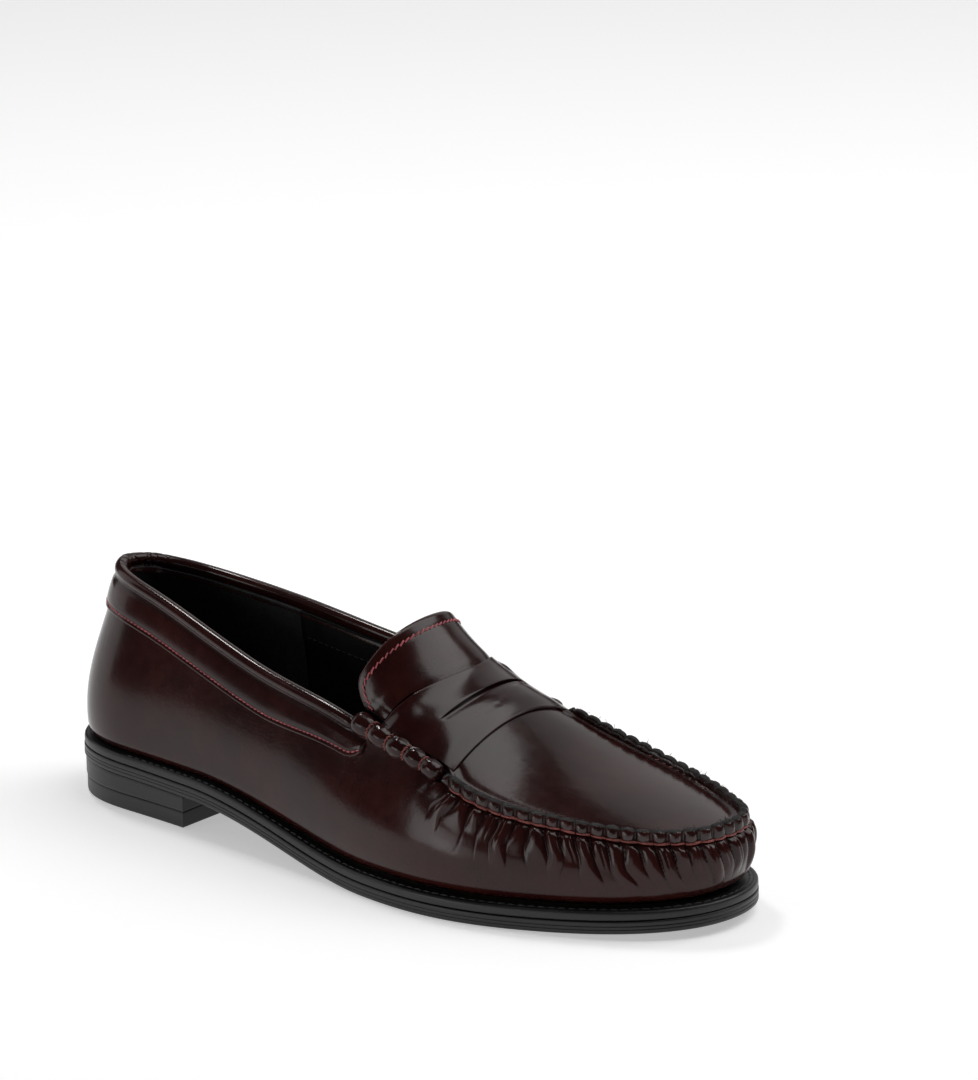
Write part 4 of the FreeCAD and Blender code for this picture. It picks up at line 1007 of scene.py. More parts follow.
# ---- upper ---------------------------------------------------------------------------------------
def build_wall():
    """One-piece wall with its folds under the seam, tucked in at the welt; painted shade darkens the fold valleys and
    the tuck.
    """
    def spacing(u):
        at_seam = smooth(0.300, 0.318, u) * (1.0 - smooth(0.690, 0.708, u))
        at_back = np.exp(-(np.minimum(u, 1.0 - u) / 0.004) ** 2)
        return 1.7 - 1.37 * at_seam - 1.4 * at_back

    u = columns_by_spacing(0.0, 1.0, spacing)[:-1]
    turn = u % 1.0
    at_roll = smooth(COLLAR_END - 0.004, ROLL_START + 0.004, turn) * (1.0 - smooth(MEDIAL_ROLL_START - 0.004, 1.004 - COLLAR_END, turn))
    no_seam = 1.0 - smooth(ROLL_END - 0.002, SEAM_START, turn) + smooth(SEAM_END, MEDIAL_ROLL_END + 0.002, turn)
    end = wall_share(u, no_seam * (4.0 - 1.6 * at_roll))
    rows = np.linspace(0.0, 1.0, 66)
    t = end[:, None] * (1.0 - (1.0 - rows) ** 1.55)
    place = wall(u[:, None], t)
    steps = np.linalg.norm(np.diff(place, axis=1), axis=2)
    below = np.concatenate([np.cumsum(steps[:, ::-1], axis=1)[:, ::-1], np.zeros((len(u), 1))], axis=1)
    above = below[:, :1] - below
    lift, valley_shade = gathers(seam_run(u)[:, None], below + (no_seam * 3.0)[:, None])
    tuck = -1.1 * (1.0 - smooth(0.0, 2.6, above)) - 0.25 * (1.0 - smooth(1.5, 5.0, above))
    seam_line = -0.28 * np.exp(-((np.minimum(u, 1.0 - u) * 560.0 / 0.45) ** 2))
    slack = 0.12 * noise_2d(u[:, None] * 14.0, below / 26.0, 21) * smooth(3.0, 10.0, above)
    outer = place + wall_normal(u[:, None], t) * (lift + tuck + slack + seam_line[:, None])[..., None]
    inner_t = end[:, None] * np.array([0.0, 0.4, 0.8, 1.0])
    inner = wall(u[:, None], inner_t) - wall_normal(u[:, None], inner_t) * (UPPER_THICK + 1.0 * (inner_t[..., None] < 0.05))
    # Painted shade: the valleys of the folds and the tuck at the welt are darkened.
    fold = valley_shade + 0.9 * (1.0 - smooth(0.0, 2.2, above))
    piece = sheet("wall_leather", outer, inner, leather(), {"fold": fold}, closed=True, crease=None)
    settle(piece, "root", "oxblood_leather", "wall")


def apron_side(u):
    """The apron's edge: under the ridge, and drawn in beside the beef rolls."""
    beside = 1.0 - smooth(ROLL_END, SEAM_START + 0.004, u) + smooth(SEAM_END - 0.004, MEDIAL_ROLL_END, u)
    x, y, _, _ = edge_point(u, top_inset(u) + 0.6 + 2.6 * beside)
    return stack(x, y)


def sides_at(stations, side_line, low_u, tip_u, high_u):
    """Places on the lateral and medial side of a plan line at the same distance from the heel back."""
    lateral, medial = np.linspace(low_u, tip_u, 1500), np.linspace(high_u, tip_u, 1500)
    x_lateral = np.maximum.accumulate(side_line(lateral)[:, 0])
    x_medial = np.maximum.accumulate(side_line(medial)[:, 0])
    return np.interp(stations, x_lateral, lateral), np.interp(stations, x_medial, medial)


def build_apron():
    """Apron leather, plumped along the seam where it turns up into the ridge."""
    tip_u = 0.5 + np.argmax(apron_side(np.linspace(0.49, 0.53, 401))[:, 0]) * 0.0001 - 0.01
    tip = apron_side(np.array([tip_u]))[0]
    turn = np.linspace(0.0, 1.0, 230)
    stations = APRON_REAR + (tip[0] - 0.02 - APRON_REAR) * (1.0 - (1.0 - turn) ** 1.8)
    u_lateral, u_medial = sides_at(stations, apron_side, 0.286, tip_u, 0.704)
    lateral, medial = apron_side(u_lateral), apron_side(u_medial)
    share = 0.5 - 0.5 * np.cos(np.pi * np.linspace(0.0, 1.0, 80))
    plan = lateral[:, None] * (1.0 - share[:, None]) + medial[:, None] * share[:, None]
    x, y = plan[..., 0], plan[..., 1]
    line = apron_side(np.linspace(0.30, 0.70, 500))
    edge = np.min(np.linalg.norm(plan[:, :, None] - line[None, None], axis=-1), axis=-1)
    rise = 1.0 * (1.0 - smooth(0.0, 3.0, edge)) - 0.16 * np.exp(-((edge - 3.6) / 1.0) ** 2)
    rise += 0.10 * noise_2d(x / 30.0, y / 24.0, 5) * smooth(2.0, 12.0, edge)
    z = apron_height(x, y)
    # Painted shade: the groove beside the seam is darkened.
    fold = 0.9 * np.exp(-((edge - 2.2) / 0.9) ** 2)
    outer = stack(x, y, z + rise)
    piece = sheet("apron_leather", outer, stack(x, y, z - 1.5), leather(), {"fold": fold}, crease=None, weld=0.02)
    settle(piece, "root", "oxblood_leather", "apron")


RIDGE = np.array((
    (0.2, -1.7, 0.0, 0.0), (0.85, -1.2, 0.1, 0.0), (1.15, -0.4, 0.6, 0.0), (1.28, 0.5, 1.0, 0.0),
    (1.25, 1.4, 1.0, 0.0), (1.10, 2.2, 0.9, 0.1), (0.82, 2.75, 0.6, 0.7), (0.40, 3.0, 0.2, 1.0),
    (-0.1, 3.05, 0.0, 1.0), (-0.6, 3.0, 0.0, 1.0), (-1.05, 2.85, 0.0, 0.9), (-1.45, 2.35, 0.0, 0.4),
    (-1.65, 1.6, 0.0, 0.05), (-1.75, 0.8, 0.0, 0.0), (-1.8, 0.0, 0.0, 0.0), (-1.6, -0.8, 0.0, 0.0),
    (-0.8, -1.6, 0.0, 0.0),
))


def build_ridge():
    """Upturned edges of wall and apron, drawn into lumps, with fibres standing on the raw crown."""
    run = np.arange(-2.6, SEAM_TOTAL + 2.6, 0.33)
    u = np.where(run < 0, SEAM_START + run / 560.0, np.where(run > SEAM_TOTAL, SEAM_END + (run - SEAM_TOTAL) / 560.0, seam_place(run)))
    turns = np.linspace(0.0, len(RIDGE), 41)[:-1]
    closed = np.concatenate([RIDGE[-2:], RIDGE, RIDGE[:3]])
    profile = np.stack([Curve(zip(np.arange(-2.0, len(RIDGE) + 3.0), closed[:, k]))(turns) for k in range(4)], axis=1)
    profile[:, 2:] = np.clip(profile[:, 2:], 0.0, 1.0)
    top, out = top_point(u), outward(u)
    fade = smooth(-2.8, -0.2, run) * smooth(-2.8, -0.2, SEAM_TOTAL - run)
    fade = (0.35 + 0.65 * fade)[:, None]
    toe = 0.25 * np.exp(-((run - 97.0) / 26.0) ** 2)[:, None]
    across = profile[:, 0] * (0.75 + 0.25 * fade)
    up = np.where(profile[:, 1] > 0, profile[:, 1] * fade * (1.0 + toe), profile[:, 1])
    points = top[:, None] + out[:, None] * across[..., None] + stack(0.0, 0.0, up)
    kinds = {"rim": np.repeat(profile[None, :, 2], len(u), 0), "crown": np.repeat(profile[None, :, 3], len(u), 0)}
    kinds["run"] = np.repeat(run[:, None] / 1000.0, len(turns), 1)
    tip = 0.25 + 2.2 * np.exp(-((run - 98.0) / 4.5) ** 2) + 0.8 * np.exp(-((run - 0.0) / 3.0) ** 2)
    kinds["fray"] = kinds["crown"] * tip[:, None]
    base = swept("seam_base", top, points, ridge_finish(), kinds)
    facing = [Vector(outward(seam_place(v.value * 1000.0)).tolist()) for v in base.data.attributes["run"].data]
    layer = base.data.attributes.new("facing", "FLOAT_VECTOR", "POINT")
    layer.data.foreach_set("vector", np.array(facing, np.float32).ravel())
    given = {
        "Pitch": SEAM_TOTAL / sizes().seam_lumps / 1000.0, "Depth": sizes().lump_depth,
        "Rise": sizes().lump_rise, "Seed": sizes().seed,
    }
    piece = pattern_on(base, lump_pattern(ridge_finish()), given, "seam_ridge_leather")
    fibres = pattern_on(piece, fray_pattern(raw_edge()), {
        "Density": 9.0e5, "Fibre Length": sizes().fibre_length, "Seed": sizes().seed,
    }, "seam_fibres", keep_source=True)
    settle(piece, "root", "oxblood_leather", "seam_ridge")
    settle(fibres, "root", "oxblood_leather")


def build_seam_threads():
    """Thread under each lump, and the finer stitches inside the ridge round the toe."""
    pitch = SEAM_TOTAL / sizes().seam_lumps
    run = np.linspace(pitch / 2.0, SEAM_TOTAL - pitch / 2.0, 500)
    u = seam_place(run)
    points = wall_below(u, 1.05, 0.85)
    t = wall_share(u, 1.4)
    row = stitches(
        "seam_stitches", points, wall_normal(u, t), thick_red(), 0.0, sizes().seam_lumps,
        stitch_length=pitch * 0.00092, thread=sizes().seam_thread, arch=0.0010, sag=-0.0009, slant=0.0,
    )
    settle(row, "root", "crimson_thread", "seam_thread")
    u = np.linspace(0.385, 0.625, 500)
    out = outward(u)
    points = top_point(u) - out * 1.95 + (0.0, 0.0, 0.75)
    facing = unit(stack(0.0, 0.0, 1.0 + 0.0 * u) * 0.8 - out)
    row = stitches(
        "inner_seam_stitches", points, facing, thick_red(), 0.0027,
        stitch_length=0.0025, thread=0.00048, arch=0.0003, slant=0.35,
    )
    settle(row, "root", "crimson_thread")


def edge_round(distance, radius):
    """Share of the full thickness left at a distance from a rounded cut edge."""
    share = np.clip(distance / radius, 0.0, 1.0)
    return np.sqrt(np.clip(1.0 - (1.0 - share) ** 2, 0.0, 1.0))


def edge_rows(count, dense=2.2):
    """Shares from 0 to 1, close together at both ends."""
    t = np.linspace(-1.0, 1.0, count)
    return 0.5 + 0.5 * np.sign(t) * (1.0 - (1.0 - np.abs(t)) ** dense)


def slot_across(s):
    """Place along the slot: -1 at its lateral end, 1 at its medial end."""
    middle = crest_y(SLOT_PLACE / LENGTH) - SLOT_SHIFT - 2.0
    return (instep(SLOT_PLACE, s)[..., 1] - middle) / (SLOT_WIDTH / 2.0)


def slot_sides(s):
    """Rear and front edge of the keeper slot at each s; they meet beyond its ends."""
    across = slot_across(s)
    centre = SLOT_PLACE - 1.7 - SLOT_BOW * np.clip(across, -1.0, 1.0) ** 2
    half = 0.5 * SLOT_OPENING * 0.55 * np.sqrt(np.clip(1.0 - across ** 2, 0.0, 1.0))
    return centre - half, centre + half


def strap_top(x, s, rear, front, gap):
    """Lift of the strap's face: thinned towards its edges, with a pressed line before the slot."""
    full = 0.15 + UPPER_THICK
    low, high = gap
    across = slot_across(s)
    thin = 0.26 + 0.74 * smooth(0.0, 9.0, x - rear)
    thin = thin * (0.60 + 0.40 * smooth(0.0, 6.0, front - x))
    lift = 0.15 + (full - 0.15) * thin * edge_round(x - rear + 0.02, 0.25) * edge_round(front - x + 0.02, 0.3)
    inside = smooth(1.0, 0.9, np.abs(across))
    lift = lift - 0.30 * inside * np.exp(-((x - high) / 1.3) ** 2) + 0.12 * inside * np.exp(-((low - x) / 1.0) ** 2)
    line = high + 2.2 + 2.4 * np.cos(np.pi * np.clip(across * 0.75 + 0.12, -0.5, 0.5)) - 1.2 * np.sin(np.pi * across)
    press = smooth(0.98, 0.8, np.abs(across - 0.05)) * np.exp(-((x - line) / 0.35) ** 2)
    ear = 0.9 * smooth(0.62, 0.80, np.abs(s)) * np.exp(-((x - rear - 4.5) / 3.2) ** 2)
    return lift - 0.14 * press + ear, press


def build_strap():
    """Saddle strap with its keeper slot cut through and its edges thinned."""
    s = np.linspace(-0.92, 0.84, 170)[:, None]
    rear, front = strap_rear(s), STRAP_REAR + STRAP_MIDDLE + 0.0 * s
    low, high = slot_sides(s)
    back_rows, fore_rows = edge_rows(34), edge_rows(30)
    x = np.concatenate([rear + (low - rear) * back_rows, high + (front - high) * fore_rows], axis=1)
    top, press = strap_top(x, s, rear, front, (low, high))
    outer = instep_lifted(x, s, top)
    inner = instep_lifted(x, s, np.full_like(x, 0.15))
    rows, columns = x.shape
    base, cut = rows * columns, len(back_rows)
    faces, open_at = [], (high - low)[:, 0] > 0.02
    for start in (0, base):
        quads = grid_faces(rows, columns, start)
        quads = quads.reshape(rows - 1, columns - 1, 4)
        faces += [quads[:, :cut - 1].reshape(-1, 4), quads[:, cut:].reshape(-1, 4)]
    number = np.arange(rows) * columns
    faces += [rim_faces(number, base + number), rim_faces(number + columns - 1, base + number + columns - 1)]
    for row in (0, rows - 1):
        span = row * columns + np.arange(columns)
        faces.append(rim_faces(span, base + span))
    for column in (cut - 1, cut):
        walls = rim_faces(number + column, base + number + column)
        faces.append(walls[open_at[:-1] | open_at[1:]])
    points = np.concatenate([outer.reshape(-1, 3), inner.reshape(-1, 3)])
    near = np.minimum(x - rear, front - x)
    # Painted highlight: the pressed line before the slot and the cut edges are lightened.
    worn = 0.5 * press + 0.35 * np.exp(-near / 0.4)
    marks = {"worn": np.concatenate([worn.ravel(), 0.0 * worn.ravel()])}
    piece = new_piece("strap_leather", points, np.concatenate(faces), leather(), marks, crease=50.0)
    settle(piece, "root", "oxblood_leather", "strap")


def build_tongue():
    """Tongue with a bevelled edge, its lining and its edge stitching; it runs on under the strap."""
    s = np.linspace(-0.895, 0.745, 160)[:, None]
    rear = tongue_edge(s)
    under = 5.0 * (1.0 - smooth(0.35, 0.62, np.abs(s))) - 0.7
    front = strap_rear(s) + under
    x = rear + (front - rear) * np.linspace(0.0, 1.0, 64) ** 1.5
    side = np.minimum(s + 0.895, 0.745 - s) * 34.0
    edge = np.minimum(x - rear, side)
    bevel = edge_round(edge + 0.02, 0.9)
    sink = -0.30 * smooth(-2.0, 1.5, x - strap_rear(s))
    lift = -UPPER_THICK * 0.75 * (1.0 - bevel) + sink
    lift = lift - 0.08 * np.exp(-((edge - 2.75) / 0.5) ** 2) + 0.06 * noise_2d(x / 16.0, s * 3.0, 9)
    lift = lift - 0.35 * np.exp(-((x - strap_rear(s) + 6.0) / 2.4) ** 2) * smooth(0.55, 0.8, np.abs(s))
    outer = instep_lifted(x, s, lift)
    inner = instep_lifted(x, s, np.full_like(lift, -UPPER_THICK) + sink)
    # Painted highlight: the bevelled edge is lightened.
    worn = 0.9 * np.exp(-edge / 0.35)
    piece = sheet("tongue_leather", outer, inner, leather(), {"worn": worn}, crease=55.0)
    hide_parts("tongue")
    bend_start, bend_end = (0.0325, 0.0, 0.064), (0.0265, 0.0, 0.064)
    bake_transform(piece)
    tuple(bend_start)
    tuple(bend_end)
    s = np.linspace(-0.84, 0.71, 110)[:, None]
    rear = tongue_edge(s) + 0.6
    x = rear + (strap_rear(s) - 0.6 - rear) * np.linspace(0.0, 1.0, 40)
    low = -UPPER_THICK - GLUE
    under = sheet("tongue_lining_leather", instep_lifted(x, s, np.full_like(x, low)), instep_lifted(x, s, np.full_like(x, low - LINING_THICK)), lining_finish())
    settle(under, "tongue", "black_lining", "tongue_lining")
    s = np.linspace(-0.868, 0.675, 400)
    x = tongue_edge(s) + 2.75 + 1.2 * smooth(-0.80, -0.868, s)
    points = instep_lifted(x, s, 0.10 + 0.0 * s)
    row = stitches(
        "tongue_stitches", points, instep_lifted(x, s, 1.0 + 0.0 * s) - points, fine_red(), sizes().tongue_pitch,
        stitch_length=0.0021, thread=sizes().fine_thread * 1.2, arch=0.0005, slant=0.34,
    )
    settle(row, "tongue", "crimson_thread", "tongue_thread")


def roll_radius(share, seed):
    """Radius of a beef roll along its length: lumps drawn in at the wraps."""
    base = ROLL_REAR_RADIUS + (ROLL_FRONT_RADIUS - ROLL_REAR_RADIUS) * share
    cell = np.minimum((share * ROLL_LUMPS).astype(int), ROLL_LUMPS - 1)
    size = np.random.default_rng(seed).uniform(-0.16, 0.16, ROLL_LUMPS)[cell]
    swell = np.abs(np.sin(np.pi * ROLL_LUMPS * share)) ** 0.5
    neck = sizes().neck_depth * 1000.0
    return base - neck + (neck + size) * swell


def build_beef_rolls():
    """Two rolls beside the instep, each with five lumps, wrapped four times with two strands."""
    for side, start, end, seed in (("lateral", ROLL_START, ROLL_END, 11), ("medial", MEDIAL_ROLL_START, MEDIAL_ROLL_END, 12)):
        share = np.linspace(0.0, 1.0, 181)
        u = start + (end - start) * share
        centre = top_point(u)
        along = unit(np.gradient(centre, axis=0))
        out = unit(outward(u) - along * np.sum(outward(u) * along, axis=1, keepdims=True))
        up = unit(np.cross(along, out))
        up = up * np.sign(up[:, 2:3])
        turn = np.linspace(0.0, 2.0 * np.pi, 53)[:-1]
        to_neck = np.abs((share * ROLL_LUMPS) - np.round(share * ROLL_LUMPS)) * 6.3
        pleat = np.abs(np.sin(turn[None] * 5.5 + 3.0 * noise_1d(share * 5.0, seed)[:, None])) * np.exp(-to_neck[:, None] / 0.7)
        rough = noise_2d(share[:, None] * 26.0, turn[None] * 3.0, seed) * 0.10
        radius = roll_radius(share, seed)[:, None] - 0.22 * pleat + rough
        radius = radius * np.sqrt(np.clip(1.0 - (1.0 - np.clip(share / 0.07, 0, 1)) ** 2.2, 0.02, 1.0))[:, None]
        radius = radius * np.sqrt(np.clip(1.0 - (1.0 - np.clip((1.0 - share) / 0.05, 0, 1)) ** 2.2, 0.02, 1.0))[:, None]
        ring = out[:, None] * np.cos(turn)[None, :, None] + up[:, None] * np.sin(turn)[None, :, None]
        # Painted shade: the necks at the wraps and the pleats beside them are darkened.
        fold = np.clip(1.0 - to_neck[:, None] / 0.8, 0.0, 1.0) + 0.4 * pleat
        piece = swept("beef_roll_leather_" + side, centre, centre[:, None] + ring * radius[..., None], leather(), {"fold": fold})
        settle(piece, "root", "oxblood_leather", "beef_roll_" + side)
        necks = np.arange(1, ROLL_LUMPS) / ROLL_LUMPS
        k = np.searchsorted(share, necks)
        path = path_mesh("wrap_path_" + side, centre[k], along[k])
        reach = roll_radius(share[k], seed) + 0.28
        path.data.attributes.new("size", "FLOAT", "POINT").data.foreach_set("value", (reach / 4.0).astype(np.float32))
        group = bpy.data.node_groups.get("thread_wraps") or wrap_pattern(thick_red())
        wraps = pattern_on(path, group, {"Strand": sizes().wrap_thread, "Ring Radius": 0.004, "Twists": 7.0}, "thread_wraps_" + side)
        settle(wraps, "root", "crimson_thread", "roll_wraps_" + side)


BAND_END = 0.262


def band_width(u):
    """Width of the collar band; its front ends are rounded up under the beef rolls."""
    turn = np.minimum(u % 1.0, 1.0 - u % 1.0)
    wide = BAND_WIDTH - BAND_TAPER * smooth(BAND_END - 0.08, BAND_END, turn)
    left = np.clip((BAND_END + 0.002 - turn) * 560.0, 0.0, 8.0)
    return wide - 8.0 + np.sqrt(64.0 - (8.0 - left) ** 2)


def build_collar():
    """Padded roll along the topline and the band below it, as one skin, with its stitching."""
    def spacing(u):
        return 0.85 - 0.45 * np.exp(-((u / 0.055) ** 2))

    u = columns_by_spacing(-BAND_END, BAND_END, spacing)
    out, top = outward(u), top_point(u)
    run = u * 560.0
    turn = np.radians(np.linspace(232.0, -46.0, 30))
    pleats = np.zeros((len(u), len(turn)))
    chance = np.random.default_rng(sizes().seed + 9)
    for centre in (-24.0, -17.5, -13.0, -6.0, -2.5, 4.5, 9.5, 16.0, 21.0):
        width, depth = chance.uniform(0.5, 0.9), chance.uniform(0.22, 0.5)
        bend = 1.5 * np.sin(turn * 2.0 + chance.uniform(0, 6))
        pleats += depth * np.exp(-(((run[:, None] - centre - bend) / width) ** 2))
    inside = smooth(math.radians(50.0), math.radians(95.0), turn)[None]
    back_seam = 0.22 * np.exp(-((run / 0.35) ** 2))[:, None]
    taper = (1.0 - 0.45 * smooth(COLLAR_END + 0.001, COLLAR_END + 0.006, np.abs(u)))[:, None]
    radius = (COLLAR_ROLL / 2.0 - 0.02) * taper - pleats * inside - back_seam + 0.05 * noise_2d(run[:, None] / 11.0, turn[None], 3)
    centre = top - out * 0.25 - (0.0, 0.0, COLLAR_ROLL / 2.0)
    roll = centre[:, None] + out[:, None] * (np.cos(turn) * radius)[..., None] + stack(0.0, 0.0, np.sin(turn) * radius)
    width = band_width(u)[:, None]
    down = np.array([0.0, 0.03, 0.08, 0.15, 0.25, 0.36, 0.48, 0.6, 0.7, 0.78, 0.84, 0.89, 0.93, 0.96, 0.98, 0.992, 1.0])[None]
    start = COLLAR_ROLL + 0.35
    below = start + (width - start) * down
    lift = 0.82 + (GLUE + BAND_THICK - 0.82) * smooth(0.0, 0.16, down) + 0.30 * np.sin(np.pi * np.clip(down, 0, 1)) ** 1.4
    lift = lift - 0.28 * np.exp(-((width - below - 1.7) / 0.55) ** 2)
    lift = 0.05 + (lift - 0.05) * edge_round(width - below + 0.03, 0.4)
    band = wall_below(u[:, None], below, lift)
    lower = wall_below(u[:, None], width - 0.2, np.full_like(width, -0.5))
    inner_top = centre[:, None] + out[:, None] * -(COLLAR_ROLL / 2.0 + 0.75) + stack(0.0, 0.0, np.full((1, 1), -2.9))
    outer = np.concatenate([inner_top, roll, band, lower], axis=1)
    back = wall_below(u[:, None], np.linspace(6.0, 1.0, outer.shape[1])[None] + 0.0 * width, np.full((len(u), outer.shape[1]), -0.9))
    back[:, :] = centre[:, None] * 0.5 + wall_below(u[:, None], width - 1.0, np.full_like(width, -0.6)) * 0.5
    # Painted shade: the inside of the roll, its pleats, the back seam and the crease under the roll are darkened;
    # painted highlight: the band's lower edge is lightened.
    fold = np.concatenate([0 * width + 0.3, pleats * inside * 1.2 + back_seam * 2.0, 0.9 * np.exp(-(down / 0.05) ** 2) + 0.0 * width, 0 * width], axis=1)
    worn = np.concatenate([0 * width, 0.0 * pleats, 0.9 * np.exp(-(width - below) / 0.35), 0 * width], axis=1)
    rows, columns = outer.shape[:2]
    ends = np.arange(rows) * columns
    faces = np.concatenate([grid_faces(rows, columns), rim_faces(ends, ends + columns - 1)]).tolist()
    faces += [list(range(columns)), list(range((rows - 1) * columns, rows * columns))]
    piece = new_piece("collar_leather", outer.reshape(-1, 3), faces, leather(), {"fold": fold.ravel(), "worn": worn.ravel()}, crease=None)
    settle(piece, "root", "oxblood_leather", "collar_binding", "collar_padding")
    u = np.linspace(-BAND_END + 0.002, BAND_END - 0.002, 900)
    width = band_width(u)
    points = wall_below(u, width - 1.7, np.full_like(u, GLUE + BAND_THICK - 0.16))
    facing = wall_normal(u, wall_share(u, width - 1.7))
    row = stitches(
        "collar_stitches", points, facing, fine_red(), sizes().collar_pitch,
        stitch_length=0.0013, thread=sizes().fine_thread, arch=0.00055, slant=0.10,
    )
    settle(row, "root", "crimson_thread", "collar_thread")


def build_back_tab():
    """Strip over the back seam under the band, stitched down both sides."""
    u = np.linspace(-0.0075, 0.0075, 25)[:, None]
    below = (BAND_WIDTH - 1.0) + (15.5 + 1.0) * np.linspace(0.0, 1.0, 40)[None]
    side = np.minimum(u + 0.0075, 0.0075 - u) * 560.0
    end = BAND_WIDTH + 14.5 + 1.0 - below
    lift = 0.02 + 0.95 * edge_round(np.minimum(side, end) + 0.02, 0.5)
    outer = wall_below(u, below, lift)
    inner = wall_below(u, below, np.full_like(lift, -0.3))
    # Painted highlight: the tab's side edges are lightened.
    piece = sheet("back_tab_leather", outer, inner, leather(), {"worn": 0.8 * np.exp(-side / 0.4) + 0.0 * below})
    settle(piece, "root", "oxblood_leather", "back_tab")
    for side, place in (("lateral", 0.0054), ("medial", -0.0054)):
        below = np.linspace(BAND_WIDTH + 0.5, BAND_WIDTH + 13.5, 60)
        points = wall_below(place + 0.0 * below, below, np.full_like(below, 0.95))
        row = stitches(
            "back_tab_stitches_" + side, points, wall_normal(place, wall_share(place + 0.0 * below, below)), black_thread(), 0.0022,
            stitch_length=0.0016, thread=0.0004, arch=0.0004,
        )
        settle(row, "root", "black_thread")


def build_linings():
    """Suede heel grip, smooth quarter and vamp linings, and the sock liner."""
    depth = UPPER_THICK + STIFFENER_THICK + 2 * GLUE
    parts = (
        ("heel_grip", "heel_grip_suede", -GRIP_END + 0.001, GRIP_END - 0.001, suede(), "black_suede", 120),
        ("quarter_lining_lateral", "quarter_lining_skin_lateral", GRIP_END - 0.001, COLLAR_END, lining_finish(), "black_lining", 60),
        ("quarter_lining_medial", "quarter_lining_skin_medial", 1.0 - COLLAR_END, 1.001 - GRIP_END, lining_finish(), "black_lining", 60),
        ("vamp_lining", "vamp_lining_skin", COLLAR_END + 0.001, 0.999 - COLLAR_END, lining_finish(), "black_lining", 180),
    )
    for node, name, first, last, finish, slot, count in parts:
        u = np.linspace(first, last, count)[:, None]
        high = wall_share(u, 3.9)
        t = 0.02 + (high - 0.02) * np.linspace(0.0, 1.0, 40)[None]
        slack = 0.18 * noise_2d(u * 40.0, t * 5.0, 17) + 0.08 * noise_2d(u * 130.0, t * 9.0, 18)
        grip = 0.35 if node == "heel_grip" else 0.0
        place, normal = wall(u, t), wall_normal(u, t)
        outer = place - normal * (depth + 0.05)
        inner = place - normal * (depth + LINING_THICK + grip + slack)[..., None]
        settle(sheet(name, inner, outer, finish), "root", slot, node)
    for side, first, last in (("medial", 1.0 - COLLAR_END + 0.003, 1.0 - GRIP_END - 0.004), ("lateral", GRIP_END + 0.004, COLLAR_END - 0.003)):
        u = np.linspace(first, last, 200)
        t = wall_share(u, 13.0)
        points = wall(u, t) - wall_normal(u, t) * (depth + LINING_THICK + 0.12)
        row = stitches("lining_stitches_" + side, points, -wall_normal(u, t), black_thread(), 0.0026, stitch_length=0.0018, thread=0.0004, arch=0.0005)
        settle(row, "root", "black_thread")
    build_sock_liner()


def build_sock_liner():
    """Sock liner over the insole, cupped a little at its sides."""
    def side_line(u):
        x, y, _, _ = edge_point(u, ledge(u) + UPPER_THICK + STIFFENER_THICK + LINING_THICK + 1.1)
        return stack(x, y)

    x_all = side_line(np.linspace(0.0, 1.0, 721))[:, 0]
    turn = np.linspace(0.0, np.pi, 150)
    stations = x_all.min() + 0.05 + (x_all.max() - x_all.min() - 0.1) * (0.5 - 0.5 * np.cos(turn))
    u_lateral, u_medial = sides_at(stations, side_line, 0.0, 0.5, 1.0)
    lateral, medial = side_line(u_lateral), side_line(u_medial)
    share = 0.5 - 0.5 * np.cos(np.pi * np.linspace(0.0, 1.0, 31))[:, None]
    plan = lateral[:, None] * (1.0 - share) + medial[:, None] * share
    x, y = plan[..., 0], plan[..., 1]
    edge = np.minimum(share[:, 0], 1.0 - share[:, 0])[None] * np.linalg.norm(medial - lateral, axis=1)[:, None]
    low = underside(x) + WELT_TOP + INSOLE_THICK + 2 * GLUE
    top = low + SOCK_THICK + 0.5 * (1.0 - smooth(0.0, 8.0, edge)) + 0.08 * noise_2d(x / 14.0, y / 14.0, 30)
    settle(sheet("sock_liner_skin", stack(x, y, top), stack(x, y, low), lining_finish(), weld=0.02), "root", "black_lining", "sock_liner")


# ---- sole ----------------------------------------------------------------------------------------
def plan_pairs(count, last=None):
    """Places on the two sides of the sole edge at the same distances from the heel back."""
    def side_line(u):
        return stack(ALONG(u), ACROSS(u))

    low, high = ALONG(SAMPLES).min(), ALONG(SAMPLES).max()
    turn = np.linspace(0.0, np.pi if last is None else 0.5 * np.pi, count)
    if last is None:
        stations = low + (high - low) * (0.5 - 0.5 * np.cos(turn))
    else:
        stations = low + (last - low) * (1.0 - np.cos(turn))
    stations[0] += 0.005
    if last is None:
        stations[-1] -= 0.005
    return sides_at(stations, side_line, 0.0, 0.5, 1.0)


